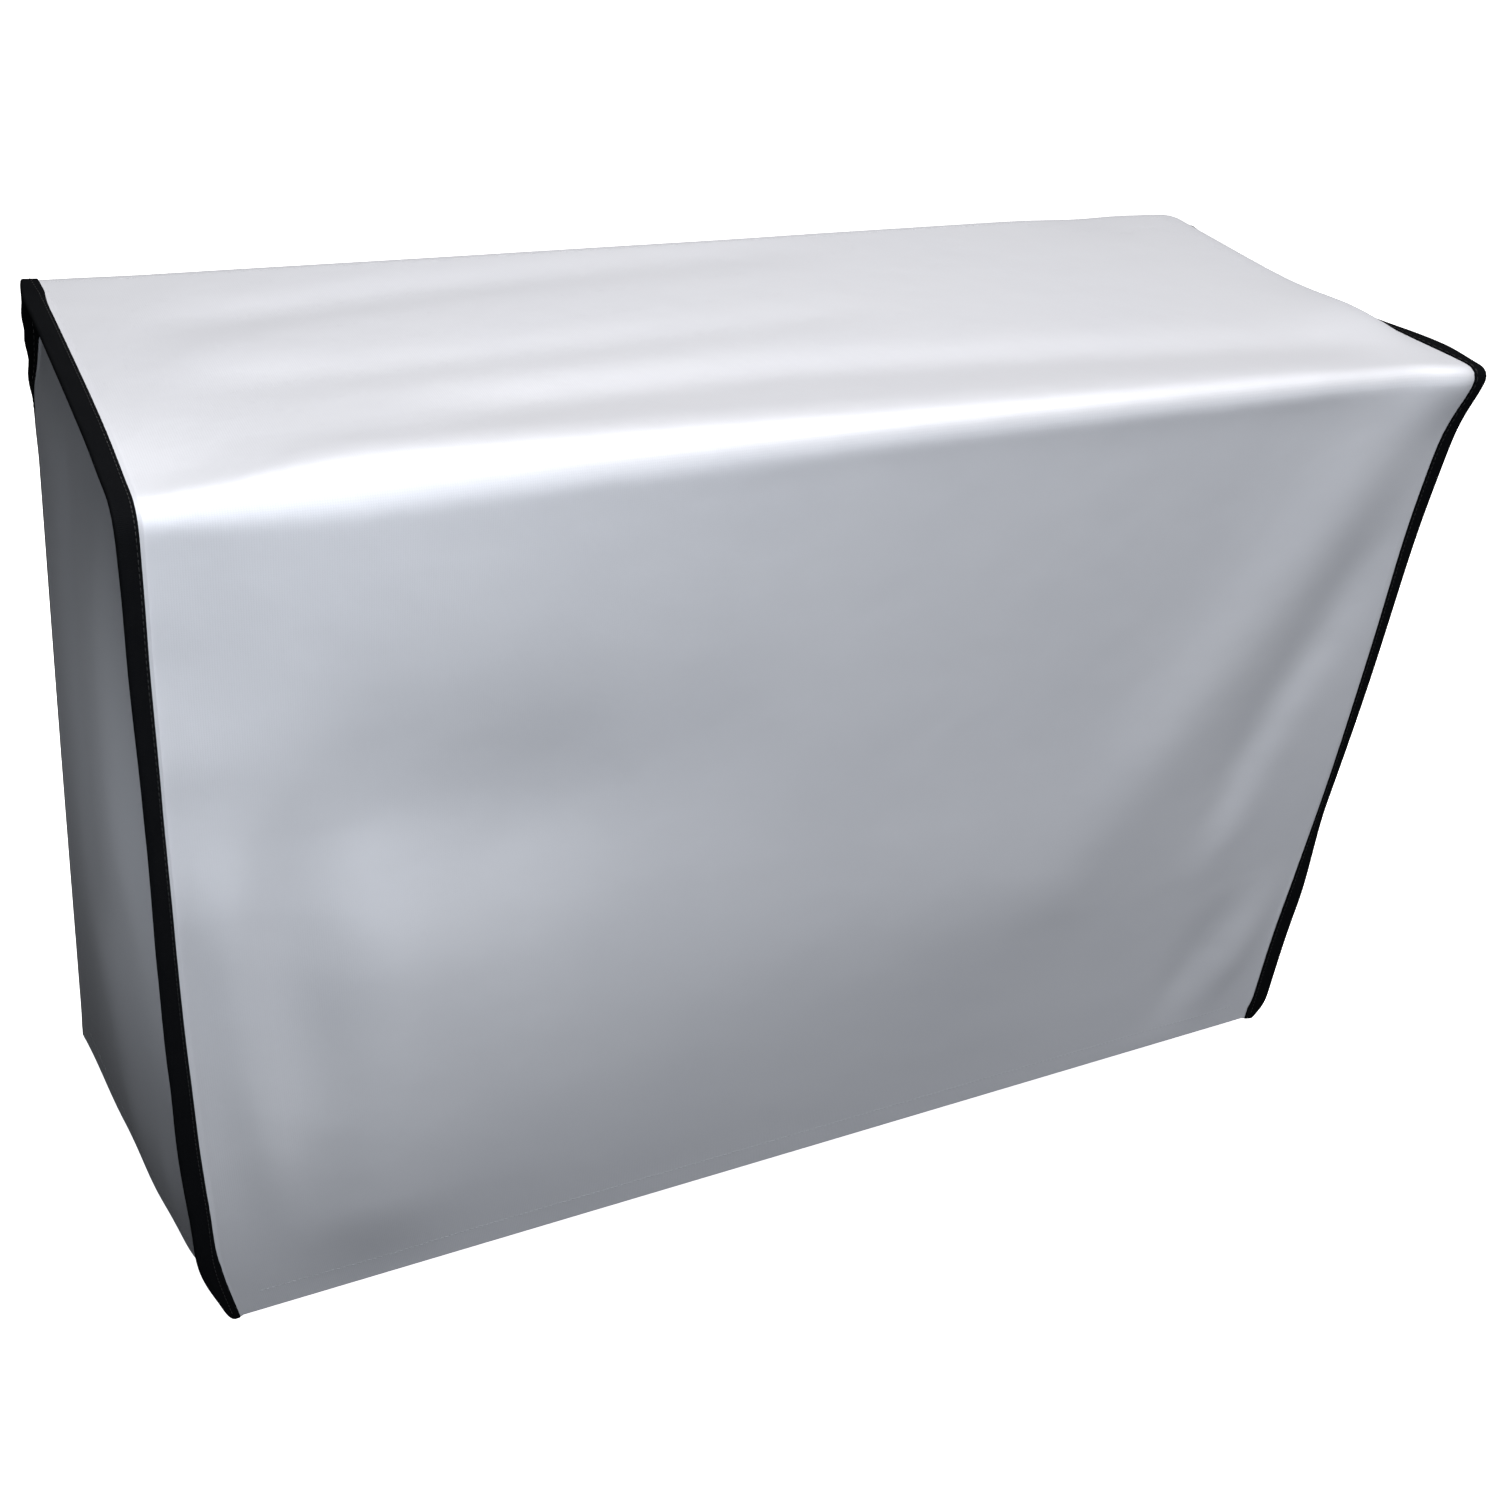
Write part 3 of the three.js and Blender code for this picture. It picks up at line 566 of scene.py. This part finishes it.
    def above_side(self, side, y, z, lift):
        """The same of a side panel."""
        lift = self.lay + self.cloth / 2 + lift
        return self.side(side, y, z) + self.side_facing(side, y, z) * lift[:, None]


# Making meshes


def spaced(start, stop, step):
    """Even places from start to stop, about a step apart."""
    return list(np.linspace(start, stop, max(2, round(abs(stop - start) / step) + 1)))


def merged(*lists):
    """The places of several lists in order, without those that lie almost together."""
    places = sorted(v for values in lists for v in values)
    kept = places[:1]
    for place in places[1:]:
        if place - kept[-1] > APART:
            kept.append(place)
    return kept


def flat_cloth(columns, rows):
    """A flat grid with its lines at these places, in millimetres."""
    bm = bmesh.new()
    across, along = len(columns) - 1, len(rows) - 1
    bmesh.ops.create_grid(bm, x_segments=across, y_segments=along, size=1)
    for vert in bm.verts:
        i, j = round((vert.co.x + 1) / 2 * across), round((vert.co.y + 1) / 2 * along)
        vert.co = (columns[i], rows[j], 0)
    return bm


def move_points(bm, place):
    """Moves every flat point, in millimetres, to where `place` puts it, in metres."""
    placed = place(np.array([vert.co for vert in bm.verts], float)) * MM
    for vert, point in zip(bm.verts, placed):
        vert.co = point


def hang_up(bm, place):
    """Keeps the flat cut as a UV map in metres and moves every point to where it hangs."""
    cut = bm.loops.layers.uv.new("cut")
    for face in bm.faces:
        for loop in face.loops:
            loop[cut].uv = loop.vert.co.xy * MM
    move_points(bm, place)


def piece(bm, name, *materials):
    """Makes an object of the mesh, which then goes with the cover."""
    for face in bm.faces:
        face.smooth = True
    mesh = bpy.data.meshes.new(name)
    bm.to_mesh(mesh)
    bm.free()
    for material in materials:
        mesh.materials.append(material)
    obj = bpy.data.objects.new(name, mesh)
    bpy.context.scene.collection.objects.link(obj)
    return obj


def thicken(obj, thickness, inner_material=0):
    """Gives a sheet its thickness, to both sides of its surface."""
    solid = obj.modifiers.new("thickness", "SOLIDIFY")
    solid.thickness = thickness
    solid.offset = 0
    solid.material_offset = inner_material


def strip_places(drape, flat):
    """Where the strip's cut hangs: its hems turned in, its ends out along the flanges."""
    x, s = flat[:, 0], flat[:, 1]
    half = drape.width / 2
    turned = np.maximum(-s, s - drape.loop)
    along = np.where(s < 0, -s, np.where(s > drape.loop, 2 * drape.loop - s, s))
    inside = np.clip(x, -half, half)
    facing = drape.strip_facing(inside, along)
    hung = drape.layer(drape.strip(inside, along), facing, turned)
    for side in (-1, 1):
        seam, out, face, reach = drape.seam(side, along)
        beyond = side * x - half
        share = np.clip(beyond / drape.tucked, 0, 1)
        most = reach - drape.tape - TAPE_ROOM
        on_flange = seam + out * (share * most)[:, None] + face * drape.lay
        on_seam = seam + mitred(face, facing, drape.lay)
        hung = np.where((beyond > SAME)[:, None], on_flange, hung)
        hung = np.where(((np.abs(beyond) < SAME) & (turned <= 0))[:, None], on_seam, hung)
    return hung


def side_places(drape, side, flat):
    """Where a side panel's cut hangs: its hem turned in, its rim out along the flange."""
    y, z = flat[:, 0], flat[:, 1]
    half = drape.depth / 2
    turned = -drape.height - z
    up = np.where(turned > 0, -drape.height + turned, z)
    beyond = np.maximum(np.maximum(np.abs(y) - half, z), 0)
    inside_y, inside_z = np.clip(y, -half, half), np.clip(up, -drape.height, 0)
    facing = drape.side_facing(side, inside_y, inside_z)
    hung = drape.layer(drape.side(side, inside_y, inside_z), facing, turned)
    # Where along the strip each point of the rim is sewn.
    s = drape.upright(inside_z)
    on_top = (np.abs(inside_y) < half - SAME) & (inside_z > -SAME)
    over = drape.rise + drape.arc + drape.run * (inside_y / drape.depth + 0.5)
    station = np.where(on_top, over, np.where(inside_y > half - SAME, drape.loop - s, s))
    rim = on_top | (np.abs(inside_y) > half - SAME)
    seam, out, face, reach = drape.seam(side, station)
    share = np.clip(beyond / drape.tucked, 0, 1)
    most = reach - drape.tape - TAPE_ROOM
    on_flange = seam + out * (share * most)[:, None] - face * drape.lay
    on_seam = seam + mitred(facing, -face, drape.lay)
    hung = np.where((rim & (beyond > SAME))[:, None], on_flange, hung)
    return np.where((rim & (beyond <= SAME) & (turned <= 0))[:, None], on_seam, hung)


def tape_places(drape, side, flat):
    """Where the points of a tape's cut go: x is across the tape, with its fold in the middle."""
    across, s = flat[:, 0], flat[:, 1]
    _, _, _, reach = drape.seam(side, s)
    centre = reach - drape.tape / 2 - drape.wrap
    quarter = drape.wrap * math.pi / 2
    turn = np.clip(across / drape.wrap, -math.pi / 2, math.pi / 2)
    straight = np.maximum(np.abs(across) - quarter, 0)
    room = np.minimum(1, (centre - TAPE_CLEAR) / (drape.tape_width / 2 - quarter))
    out = centre + drape.wrap * np.cos(turn) - straight * room
    face = drape.wrap * np.sin(turn)
    return drape.on_flange(side, s, out, face)


def add_flange(bm, drape):
    """Adds the flange to a side panel's cut, out from its two uprights and its top."""
    half, low = drape.depth / 2, -drape.height

    def sewn(edge):
        above_hem = all(v.co.y > low - ON_LINE for v in edge.verts)
        upright = all(abs(v.co.x) > half - ON_LINE for v in edge.verts)
        top = all(v.co.y > -ON_LINE for v in edge.verts)
        return edge.is_boundary and above_hem and (upright or top)

    rim = [edge for edge in bm.edges if sewn(edge)]
    reached = 0
    for line in (*FLANGE_LINES, drape.tucked):
        grown = bmesh.ops.extrude_edge_only(bm, edges=rim)["geom"]
        new = [g for g in grown if isinstance(g, bmesh.types.BMVert)]
        rim = [g for g in grown if isinstance(g, bmesh.types.BMEdge) and g.is_boundary]
        rim = [edge for edge in rim if all(v in new for v in edge.verts)]
        for vert in new:
            if abs(vert.co.x) > half + reached - ON_LINE:
                vert.co.x += math.copysign(line - reached, vert.co.x)
            if vert.co.y > reached - ON_LINE:
                vert.co.y += line - reached
        reached = line


def stitch_row(count, pitch, radius):
    """A flat row of stitches along x, each a low rounded bar of a few faces."""
    bm = bmesh.new()
    bmesh.ops.create_uvsphere(bm, u_segments=6, v_segments=4, radius=1)
    bmesh.ops.rotate(bm, verts=bm.verts, matrix=Matrix.Rotation(math.pi / 2, 3, "Y"))
    size = ((pitch - STITCH_GAP) / 2, radius * STITCH_SPREAD, radius)
    bmesh.ops.scale(bm, verts=bm.verts, vec=size)
    made = 1
    while made < count:
        more = min(made, count - made)
        faces = [f for f in bm.faces if f.calc_center_median().x < (more - 0.5) * pitch]
        copy = bmesh.ops.duplicate(bm, geom=faces)
        verts = [g for g in copy["geom"] if isinstance(g, bmesh.types.BMVert)]
        bmesh.ops.translate(bm, verts=verts, vec=(made * pitch, 0, 0))
        made += more
    return bm


def sew(bm, count, pitch, radius, place):
    """Adds a row of stitches, with each of its flat points where `place` puts it."""
    row = stitch_row(count, pitch, radius)
    move_points(row, place)
    mesh = bpy.data.meshes.new("row")
    row.to_mesh(mesh)
    row.free()
    bm.from_mesh(mesh)
    bpy.data.meshes.remove(mesh)


# Finishes


def node(tree, kind, inputs=None, **settings):
    """Adds one node with its settings. An input is a value or another node's output."""
    made = tree.nodes.new(kind)
    for name, value in settings.items():
        setattr(made, name, value)
    for name, value in (inputs or {}).items():
        socket = made.inputs[name]
        if isinstance(value, bpy.types.NodeSocket):
            tree.links.new(value, socket)
        else:
            socket.default_value = value
    return made


def new_material(name):
    material = bpy.data.materials.new(name)
    material.use_nodes = True
    tree = material.node_tree
    tree.nodes.clear()
    return material, tree


def bands(spacing):
    """The Scale of a wave texture whose bands are this far apart in metres."""
    return math.pi / (10 * spacing)


# How far apart threads and ribs are, in metres. Real threads are 0.3 mm apart, too fine to show, so
# they are drawn coarser.
WEAVE = 0.0012
TAPE_RIB = 0.001


def plain_weave(tree):
    """A plain weave's relief, 0 to 1, on the cut."""
    cut = node(tree, "ShaderNodeUVMap", uv_map="cut")
    waves = []
    for direction in ("X", "Y"):
        wave = node(
            tree,
            "ShaderNodeTexWave",
            {"Vector": cut.outputs["UV"], "Scale": bands(WEAVE), "Distortion": 0.0},
            bands_direction=direction,
        )
        waves.append(wave.outputs["Fac"])
    both = node(tree, "ShaderNodeMath", {0: waves[0], 1: waves[1]}, operation="MULTIPLY")
    return both.outputs[0]


def clouded(tree, one, other, scale, detail):
    """A colour that drifts between two tones in soft clouds, and the clouds themselves, 0 to 1."""
    place = node(tree, "ShaderNodeTexCoord").outputs["Object"]
    clouds = node(tree, "ShaderNodeTexNoise", {"Vector": place, "Scale": scale, "Detail": detail})
    tint = node(
        tree,
        "ShaderNodeMix",
        {"Factor": clouds.outputs["Fac"], "A": (*one, 1), "B": (*other, 1)},
        data_type="RGBA",
    )
    return tint.outputs["Result"], clouds.outputs["Fac"]


def silver_coat(colours):
    """Aluminium-pigmented coating on a tight polyester taffeta: a satin grey metal sheen, nearly
    smooth, that shows its soft folds as broad bright and dark bands."""
    material, tree = new_material("silver_coated_polyester")
    # Clouds about 140 mm across, where the coating is thicker and thinner.
    tint, clouds = clouded(tree, colours.silver, colours.shade, scale=7.0, detail=3.0)
    # Crinkles of 10 to 30 mm that the coating holds, far lower than the folds.
    place = node(tree, "ShaderNodeTexCoord").outputs["Object"]
    crinkle = node(
        tree,
        "ShaderNodeTexNoise",
        {"Vector": place, "Scale": 38.0, "Detail": 4.0, "Roughness": 0.45},
    )
    soft = node(
        tree,
        "ShaderNodeBump",
        {"Strength": 0.12, "Distance": 0.004, "Height": crinkle.outputs["Fac"]},
    )
    woven = node(
        tree,
        "ShaderNodeBump",
        {
            "Strength": 0.12,
            "Distance": 0.0003,
            "Height": plain_weave(tree),
            "Normal": soft.outputs["Normal"],
        },
    )
    gloss = node(
        tree,
        "ShaderNodeMapRange",
        {"Value": clouds, "To Min": 0.58, "To Max": 0.66},
    )
    shader = node(
        tree,
        "ShaderNodeBsdfPrincipled",
        {
            "Base Color": tint,
            "Metallic": 0.45,
            "Roughness": gloss.outputs["Result"],
            "Specular IOR Level": 0.25,
            "Normal": woven.outputs["Normal"],
        },
    )
    node(tree, "ShaderNodeOutputMaterial", {"Surface": shader.outputs["BSDF"]})
    return material


def backing(colours):
    """The uncoated inner face of the polyester: dull, dry and greyer."""
    material, tree = new_material("uncoated_polyester_backing")
    woven = node(
        tree,
        "ShaderNodeBump",
        {"Strength": 0.25, "Distance": 0.0003, "Height": plain_weave(tree)},
    )
    # Clouds about 110 mm across.
    tint, _ = clouded(tree, colours.backing, colours.shade, scale=9.0, detail=2.0)
    shader = node(
        tree,
        "ShaderNodeBsdfPrincipled",
        {"Base Color": tint, "Roughness": 0.8, "Normal": woven.outputs["Normal"]},
    )
    node(tree, "ShaderNodeOutputMaterial", {"Surface": shader.outputs["BSDF"]})
    return material


def binding(colours):
    """Black woven polypropylene tape: matt, with fine ribs across it that only show close by."""
    material, tree = new_material("woven_polypropylene_tape")
    cut = node(tree, "ShaderNodeUVMap", uv_map="cut")
    ribs = node(
        tree,
        "ShaderNodeTexWave",
        {"Vector": cut.outputs["UV"], "Scale": bands(TAPE_RIB), "Distortion": 1.5, "Detail": 1.0},
        bands_direction="Y",
    )
    raised = node(
        tree,
        "ShaderNodeBump",
        {"Strength": 0.35, "Distance": 0.0003, "Height": ribs.outputs["Fac"]},
    )
    # Lint in patches of about 17 mm.
    tint, _ = clouded(tree, colours.tape, colours.thread, scale=60.0, detail=2.0)
    shader = node(
        tree,
        "ShaderNodeBsdfPrincipled",
        {
            "Base Color": tint,
            "Roughness": 0.8,
            "Specular IOR Level": 0.03,
            "Normal": raised.outputs["Normal"],
        },
    )
    node(tree, "ShaderNodeOutputMaterial", {"Surface": shader.outputs["BSDF"]})
    return material


def thread(name, tone):
    """Twisted polyester sewing thread: a faint sheen along each stitch."""
    material, tree = new_material(name)
    place = node(tree, "ShaderNodeTexCoord").outputs["Object"]
    # The twist shows about every millimetre.
    twist = node(tree, "ShaderNodeTexNoise", {"Vector": place, "Scale": 900.0, "Detail": 1.0})
    raised = node(
        tree,
        "ShaderNodeBump",
        {"Strength": 0.3, "Distance": 0.0001, "Height": twist.outputs["Fac"]},
    )
    shader = node(
        tree,
        "ShaderNodeBsdfPrincipled",
        {"Base Color": (*tone, 1), "Roughness": 0.5, "Normal": raised.outputs["Normal"]},
    )
    node(tree, "ShaderNodeOutputMaterial", {"Surface": shader.outputs["BSDF"]})
    return material


def finish_named(name, make):
    """The material of that name, made the first time that a piece asks for it."""
    return bpy.data.materials.get(name) or make()


def cloth_finishes(colours):
    """The cloth's outer finish and its inner one."""
    return (
        finish_named("silver_coated_polyester", lambda: silver_coat(colours)),
        finish_named("uncoated_polyester_backing", lambda: backing(colours)),
    )


def thread_finish(name, tone):
    return finish_named(name, lambda: thread(name, tone))


# Operators


class COVER_OT_strip(Operator):
    """The strip of cloth that runs up the front, over the top and down the back"""

    bl_idname = "cover.strip"
    bl_label = "Front, top and back"

    def execute(self, context):
        drape = Drape(context.scene.cover_sizes)
        half = drape.width / 2
        right = [half - v for v in SEAM_LINES] + [half + v for v in (*FLANGE_LINES, drape.tucked)]
        middle = spaced(EVEN_FROM - half, half - EVEN_FROM, STRIP_ACROSS)
        columns = merged(right, [-v for v in right], middle)
        hem = [-drape.hem, -drape.hem / 2, *HEM_LINES]
        bent = drape.rise + drape.arc
        rise, bend = spaced(GRID, drape.rise, GRID), spaced(drape.rise, bent, STRIP_BEND_GRID)
        ends = merged(hem, rise, bend)
        rows = merged(ends, spaced(bent, drape.loop - bent, GRID), [drape.loop - s for s in ends])
        bm = flat_cloth(columns, rows)

        def past_hem(face):
            centre = face.calc_center_median()
            return abs(centre.x) > half and not 0 < centre.y < drape.loop

        trimmed = [face for face in bm.faces if past_hem(face)]
        bmesh.ops.delete(bm, geom=trimmed, context="FACES")
        hang_up(bm, lambda flat: strip_places(drape, flat))
        cloth = piece(bm, "front_top_back_cloth", *cloth_finishes(context.scene.cover_colours))
        thicken(cloth, drape.cloth * MM, 1)
        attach(cloth, "root")
        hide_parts("front_top_back_strip")
        return {"FINISHED"}


class COVER_OT_side_panels(Operator):
    """The two panels that close the ends"""

    bl_idname = "cover.side_panels"
    bl_label = "Side panels"

    def execute(self, context):
        drape = Drape(context.scene.cover_sizes)
        half = drape.depth / 2
        near = [half - v for v in SEAM_LINES]
        middle = spaced(EVEN_FROM - half, half - EVEN_FROM, GRID)
        columns = merged(near, [-v for v in near], middle)
        low = -drape.height
        hem = [low + v for v in (-drape.hem, -drape.hem / 2, *HEM_LINES)]
        rise = spaced(low + GRID, -drape.radius - 2 * BEND_GRID, GRID)
        rows = merged(hem, rise, spaced(-drape.radius, 0, BEND_GRID))
        for side, name in ((-1, "left"), (1, "right")):
            bm = flat_cloth(columns, rows)
            add_flange(bm, drape)
            if side < 0:
                bmesh.ops.reverse_faces(bm, faces=bm.faces)
            hang_up(bm, lambda flat, side=side: side_places(drape, side, flat))
            panel = piece(bm, f"{name}_side_cloth", *cloth_finishes(context.scene.cover_colours))
            thicken(panel, drape.cloth * MM, 1)
            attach(panel, "root")
            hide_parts(f"{name}_side_panel")
        return {"FINISHED"}


class COVER_OT_binding_tapes(Operator):
    """The black tape folded over each end seam"""

    bl_idname = "cover.binding_tapes"
    bl_label = "Binding tapes"

    def execute(self, context):
        drape = Drape(context.scene.cover_sizes)
        quarter = drape.wrap * math.pi / 2
        straight = spaced(quarter, drape.tape_width / 2, TAPE_ACROSS)
        fold = spaced(-quarter, quarter, quarter / 4)
        across = merged(fold, straight, [-v for v in straight])
        bent = drape.rise + drape.arc
        rise = spaced(TAPE_EVEN_FROM, drape.rise, TAPE_GRID)
        ends = merged(TAPE_END_LINES, rise, spaced(drape.rise, bent, BEND_GRID))
        run = spaced(bent, drape.loop - bent, TAPE_GRID)
        rows = merged(ends, run, [drape.loop - s for s in ends])
        colours = context.scene.cover_colours
        tape_finish = finish_named("woven_polypropylene_tape", lambda: binding(colours))
        for side, name in ((-1, "left"), (1, "right")):
            bm = flat_cloth(across, rows)
            if side > 0:
                bmesh.ops.reverse_faces(bm, faces=bm.faces)
            hang_up(bm, lambda flat, side=side: tape_places(drape, side, flat))
            tape = piece(bm, f"{name}_tape", tape_finish)
            thicken(tape, drape.tape * MM)
            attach(tape, "root")
            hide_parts(f"{name}_binding_tape")
        return {"FINISHED"}


class COVER_OT_stitches(Operator):
    """The rows of stitches along both tapes and all the hems"""

    bl_idname = "cover.stitches"
    bl_label = "Stitches"

    def execute(self, context):
        drape = Drape(context.scene.cover_sizes)
        colours = context.scene.cover_colours
        black = thread_finish("black_polyester_thread", colours.thread)
        grey = thread_finish("grey_polyester_thread", colours.hem_thread)
        outside = drape.wrap + drape.tape / 2
        count = int((drape.loop - TAPE_STITCH_BARE) / drape.pitch)
        for side, name in ((-1, "left"), (1, "right")):
            bm = bmesh.new()
            for face in (-1, 1):

                def on_tape(flat, side=side, face=face):
                    s, out = flat[:, 0] + TAPE_STITCH_START, flat[:, 1] + TAPE_STITCH_OUT
                    return drape.on_flange(side, s, out, face * (outside + flat[:, 2]))

                sew(bm, count, drape.pitch, TAPE_THREAD, on_tape)
            bmesh.ops.recalc_face_normals(bm, faces=bm.faces)
            stitches = piece(bm, f"{name}_tape_stitches", black)
            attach(stitches, "root")

        bm = bmesh.new()
        above_edge = drape.hem - HEM_STITCH_IN
        count = int((drape.width - HEM_STITCH_BARE) / drape.pitch)
        for line in (above_edge, drape.loop - above_edge):

            def on_strip(flat, line=line):
                x = flat[:, 0] + HEM_STITCH_START - drape.width / 2
                return drape.above_strip(x, flat[:, 1] + line, flat[:, 2])

            sew(bm, count, drape.pitch, HEM_THREAD, on_strip)
        count = int((drape.depth - HEM_STITCH_BARE) / drape.pitch)
        for side in (-1, 1):

            def on_side(flat, side=side):
                y = flat[:, 0] + HEM_STITCH_START - drape.depth / 2
                return drape.above_side(side, y, flat[:, 1] + above_edge - drape.height, flat[:, 2])

            sew(bm, count, drape.pitch, HEM_THREAD, on_side)
        bmesh.ops.recalc_face_normals(bm, faces=bm.faces)
        stitches = piece(bm, "hem_stitches", grey)
        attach(stitches, "root")
        return {"FINISHED"}


# The stage, in metres and degrees. Each light has its setting's name, where it stands and where it
# points, its size, its tone, and how wide it spreads.
FLOOR_HALF = 30
FLOOR_GAP = 0.001
FLOOR_GLOW = 1.2
SKY_GLOW = 0.05
LIGHTS = [
    ("overhead", (0.17, -0.3, 1.7), (0, 0, 0), (1.1, 2.0), (1, 0.965, 0.925), 180),
    ("front", (0.4, -2.6, 0.1), (0, 0, -0.3), (2.4, 1.6), (0.96, 0.98, 1), 180),
    ("left", (-0.46, -0.78, 0.3), (-0.42, -0.14, -0.06), (0.35, 0.35), (0.95, 0.98, 1), 70),
    ("side", (-0.78, -0.22, -0.27), (-0.4, -0.04, -0.25), (0.2, 0.2), (0.95, 0.98, 1), 80),
]

# The photograph's view, which is tilted a little.
VIEW_AZIMUTH, VIEW_ELEVATION, VIEW_TILT = -31.5711, 33.0647, 7.7289
CAMERA_AT = (-0.5461, -0.9122, 0.3979)
SENSOR = 36  # mm


def add_floor(settings):
    bm = bmesh.new()
    bmesh.ops.create_grid(bm, x_segments=1, y_segments=1, size=FLOOR_HALF)
    bmesh.ops.translate(bm, verts=bm.verts, vec=(0, 0, CAD_BOX[0].z - FLOOR_GAP))
    material, tree = new_material("pale_studio_floor")
    place = node(tree, "ShaderNodeTexCoord").outputs["Object"]
    # Patches about 330 mm across that are a little smoother or rougher.
    grain = node(tree, "ShaderNodeTexNoise", {"Vector": place, "Scale": 3.0})
    rough = node(
        tree,
        "ShaderNodeMapRange",
        {"Value": grain.outputs["Fac"], "To Min": 0.85, "To Max": 0.95},
    )
    shader = node(
        tree,
        "ShaderNodeBsdfPrincipled",
        {
            "Base Color": (*settings.floor, 1),
            "Roughness": rough.outputs["Result"],
            "Specular IOR Level": 0.1,
            "Emission Color": (*settings.floor, 1),
            "Emission Strength": FLOOR_GLOW,
        },
    )
    node(tree, "ShaderNodeOutputMaterial", {"Surface": shader.outputs["BSDF"]})
    floor = piece(bm, "floor", material)
    # The floor lights the cover's lower edges no more than the photograph shows.
    floor.visible_diffuse = False
    floor.visible_glossy = False


def add_light(name, at, towards, size, tone, spread, power):
    light = bpy.data.lights.new(name, "AREA")
    light.spread = math.radians(spread)
    light.color = tone
    light.shape = "RECTANGLE"
    light.size, light.size_y = size
    light.energy = power
    lamp = bpy.data.objects.new(name, light)
    lamp.location = at
    lamp.visible_camera = False
    aim = Vector(towards) - Vector(at)
    lamp.rotation_euler = aim.to_track_quat("-Z", "Y").to_euler()
    bpy.context.scene.collection.objects.link(lamp)


def add_camera(settings):
    angles = (VIEW_AZIMUTH, VIEW_ELEVATION, VIEW_TILT)
    azimuth, elevation, tilt = (math.radians(angle) for angle in angles)
    out = math.cos(elevation)
    back = Vector((math.sin(azimuth) * out, -math.cos(azimuth) * out, math.sin(elevation)))
    level = Vector((math.cos(azimuth), math.sin(azimuth), 0))
    upright = back.cross(level)
    right = level * math.cos(tilt) + upright * math.sin(tilt)
    up = upright * math.cos(tilt) - level * math.sin(tilt)
    data = bpy.data.cameras.new("camera")
    data.sensor_width = SENSOR
    data.lens = settings.lens
    camera = bpy.data.objects.new("camera", data)
    turn = Matrix((right, up, back)).transposed().to_4x4()
    camera.matrix_world = Matrix.Translation(CAMERA_AT) @ turn
    bpy.context.scene.collection.objects.link(camera)
    bpy.context.scene.camera = camera


class COVER_OT_stage(Operator):
    """The floor, the lights and the camera"""

    bl_idname = "cover.stage"
    bl_label = "Stage"

    def execute(self, context):
        scene = context.scene
        settings = scene.cover_stage
        add_floor(settings)
        world = bpy.data.worlds.new("studio")
        scene.world = world
        world.use_nodes = True
        sky = world.node_tree.nodes["Background"]
        sky.inputs["Color"].default_value = (1, 1, 1, 1)
        sky.inputs["Strength"].default_value = SKY_GLOW
        for name, *light in LIGHTS:
            add_light(name, *light, getattr(settings, name))
        add_camera(settings)
        scene.view_settings.view_transform = "Standard"
        return {"FINISHED"}


class COVER_PT_panel(Panel):
    """Lists the cover's sizes and colours, and the operators that make it"""

    bl_idname = "COVER_PT_panel"
    bl_label = "Air conditioner cover"
    bl_space_type = "VIEW_3D"
    bl_region_type = "UI"
    bl_category = "Cover"

    def draw(self, context):
        scene = context.scene
        for group in (scene.cover_sizes, scene.cover_colours, scene.cover_stage):
            column = self.layout.column()
            for name in group.__annotations__:
                column.prop(group, name)
        for operator in OPERATORS:
            self.layout.operator(operator.bl_idname)


OPERATORS = (
    COVER_OT_strip,
    COVER_OT_side_panels,
    COVER_OT_binding_tapes,
    COVER_OT_stitches,
    COVER_OT_stage,
)
CLASSES = (CoverSizes, CoverColours, StageSettings, *OPERATORS, COVER_PT_panel)


def register():
    for made in CLASSES:
        bpy.utils.register_class(made)
    bpy.types.Scene.cover_sizes = PointerProperty(type=CoverSizes)
    bpy.types.Scene.cover_colours = PointerProperty(type=CoverColours)
    bpy.types.Scene.cover_stage = PointerProperty(type=StageSettings)


def unregister():
    del bpy.types.Scene.cover_stage
    del bpy.types.Scene.cover_colours
    del bpy.types.Scene.cover_sizes
    for made in reversed(CLASSES):
        bpy.utils.unregister_class(made)


def main():
    register()
    bpy.ops.cover.strip()
    bpy.ops.cover.side_panels()
    bpy.ops.cover.binding_tapes()
    bpy.ops.cover.stitches()
    bpy.ops.cover.stage()


if __name__ == "__main__":
    main()
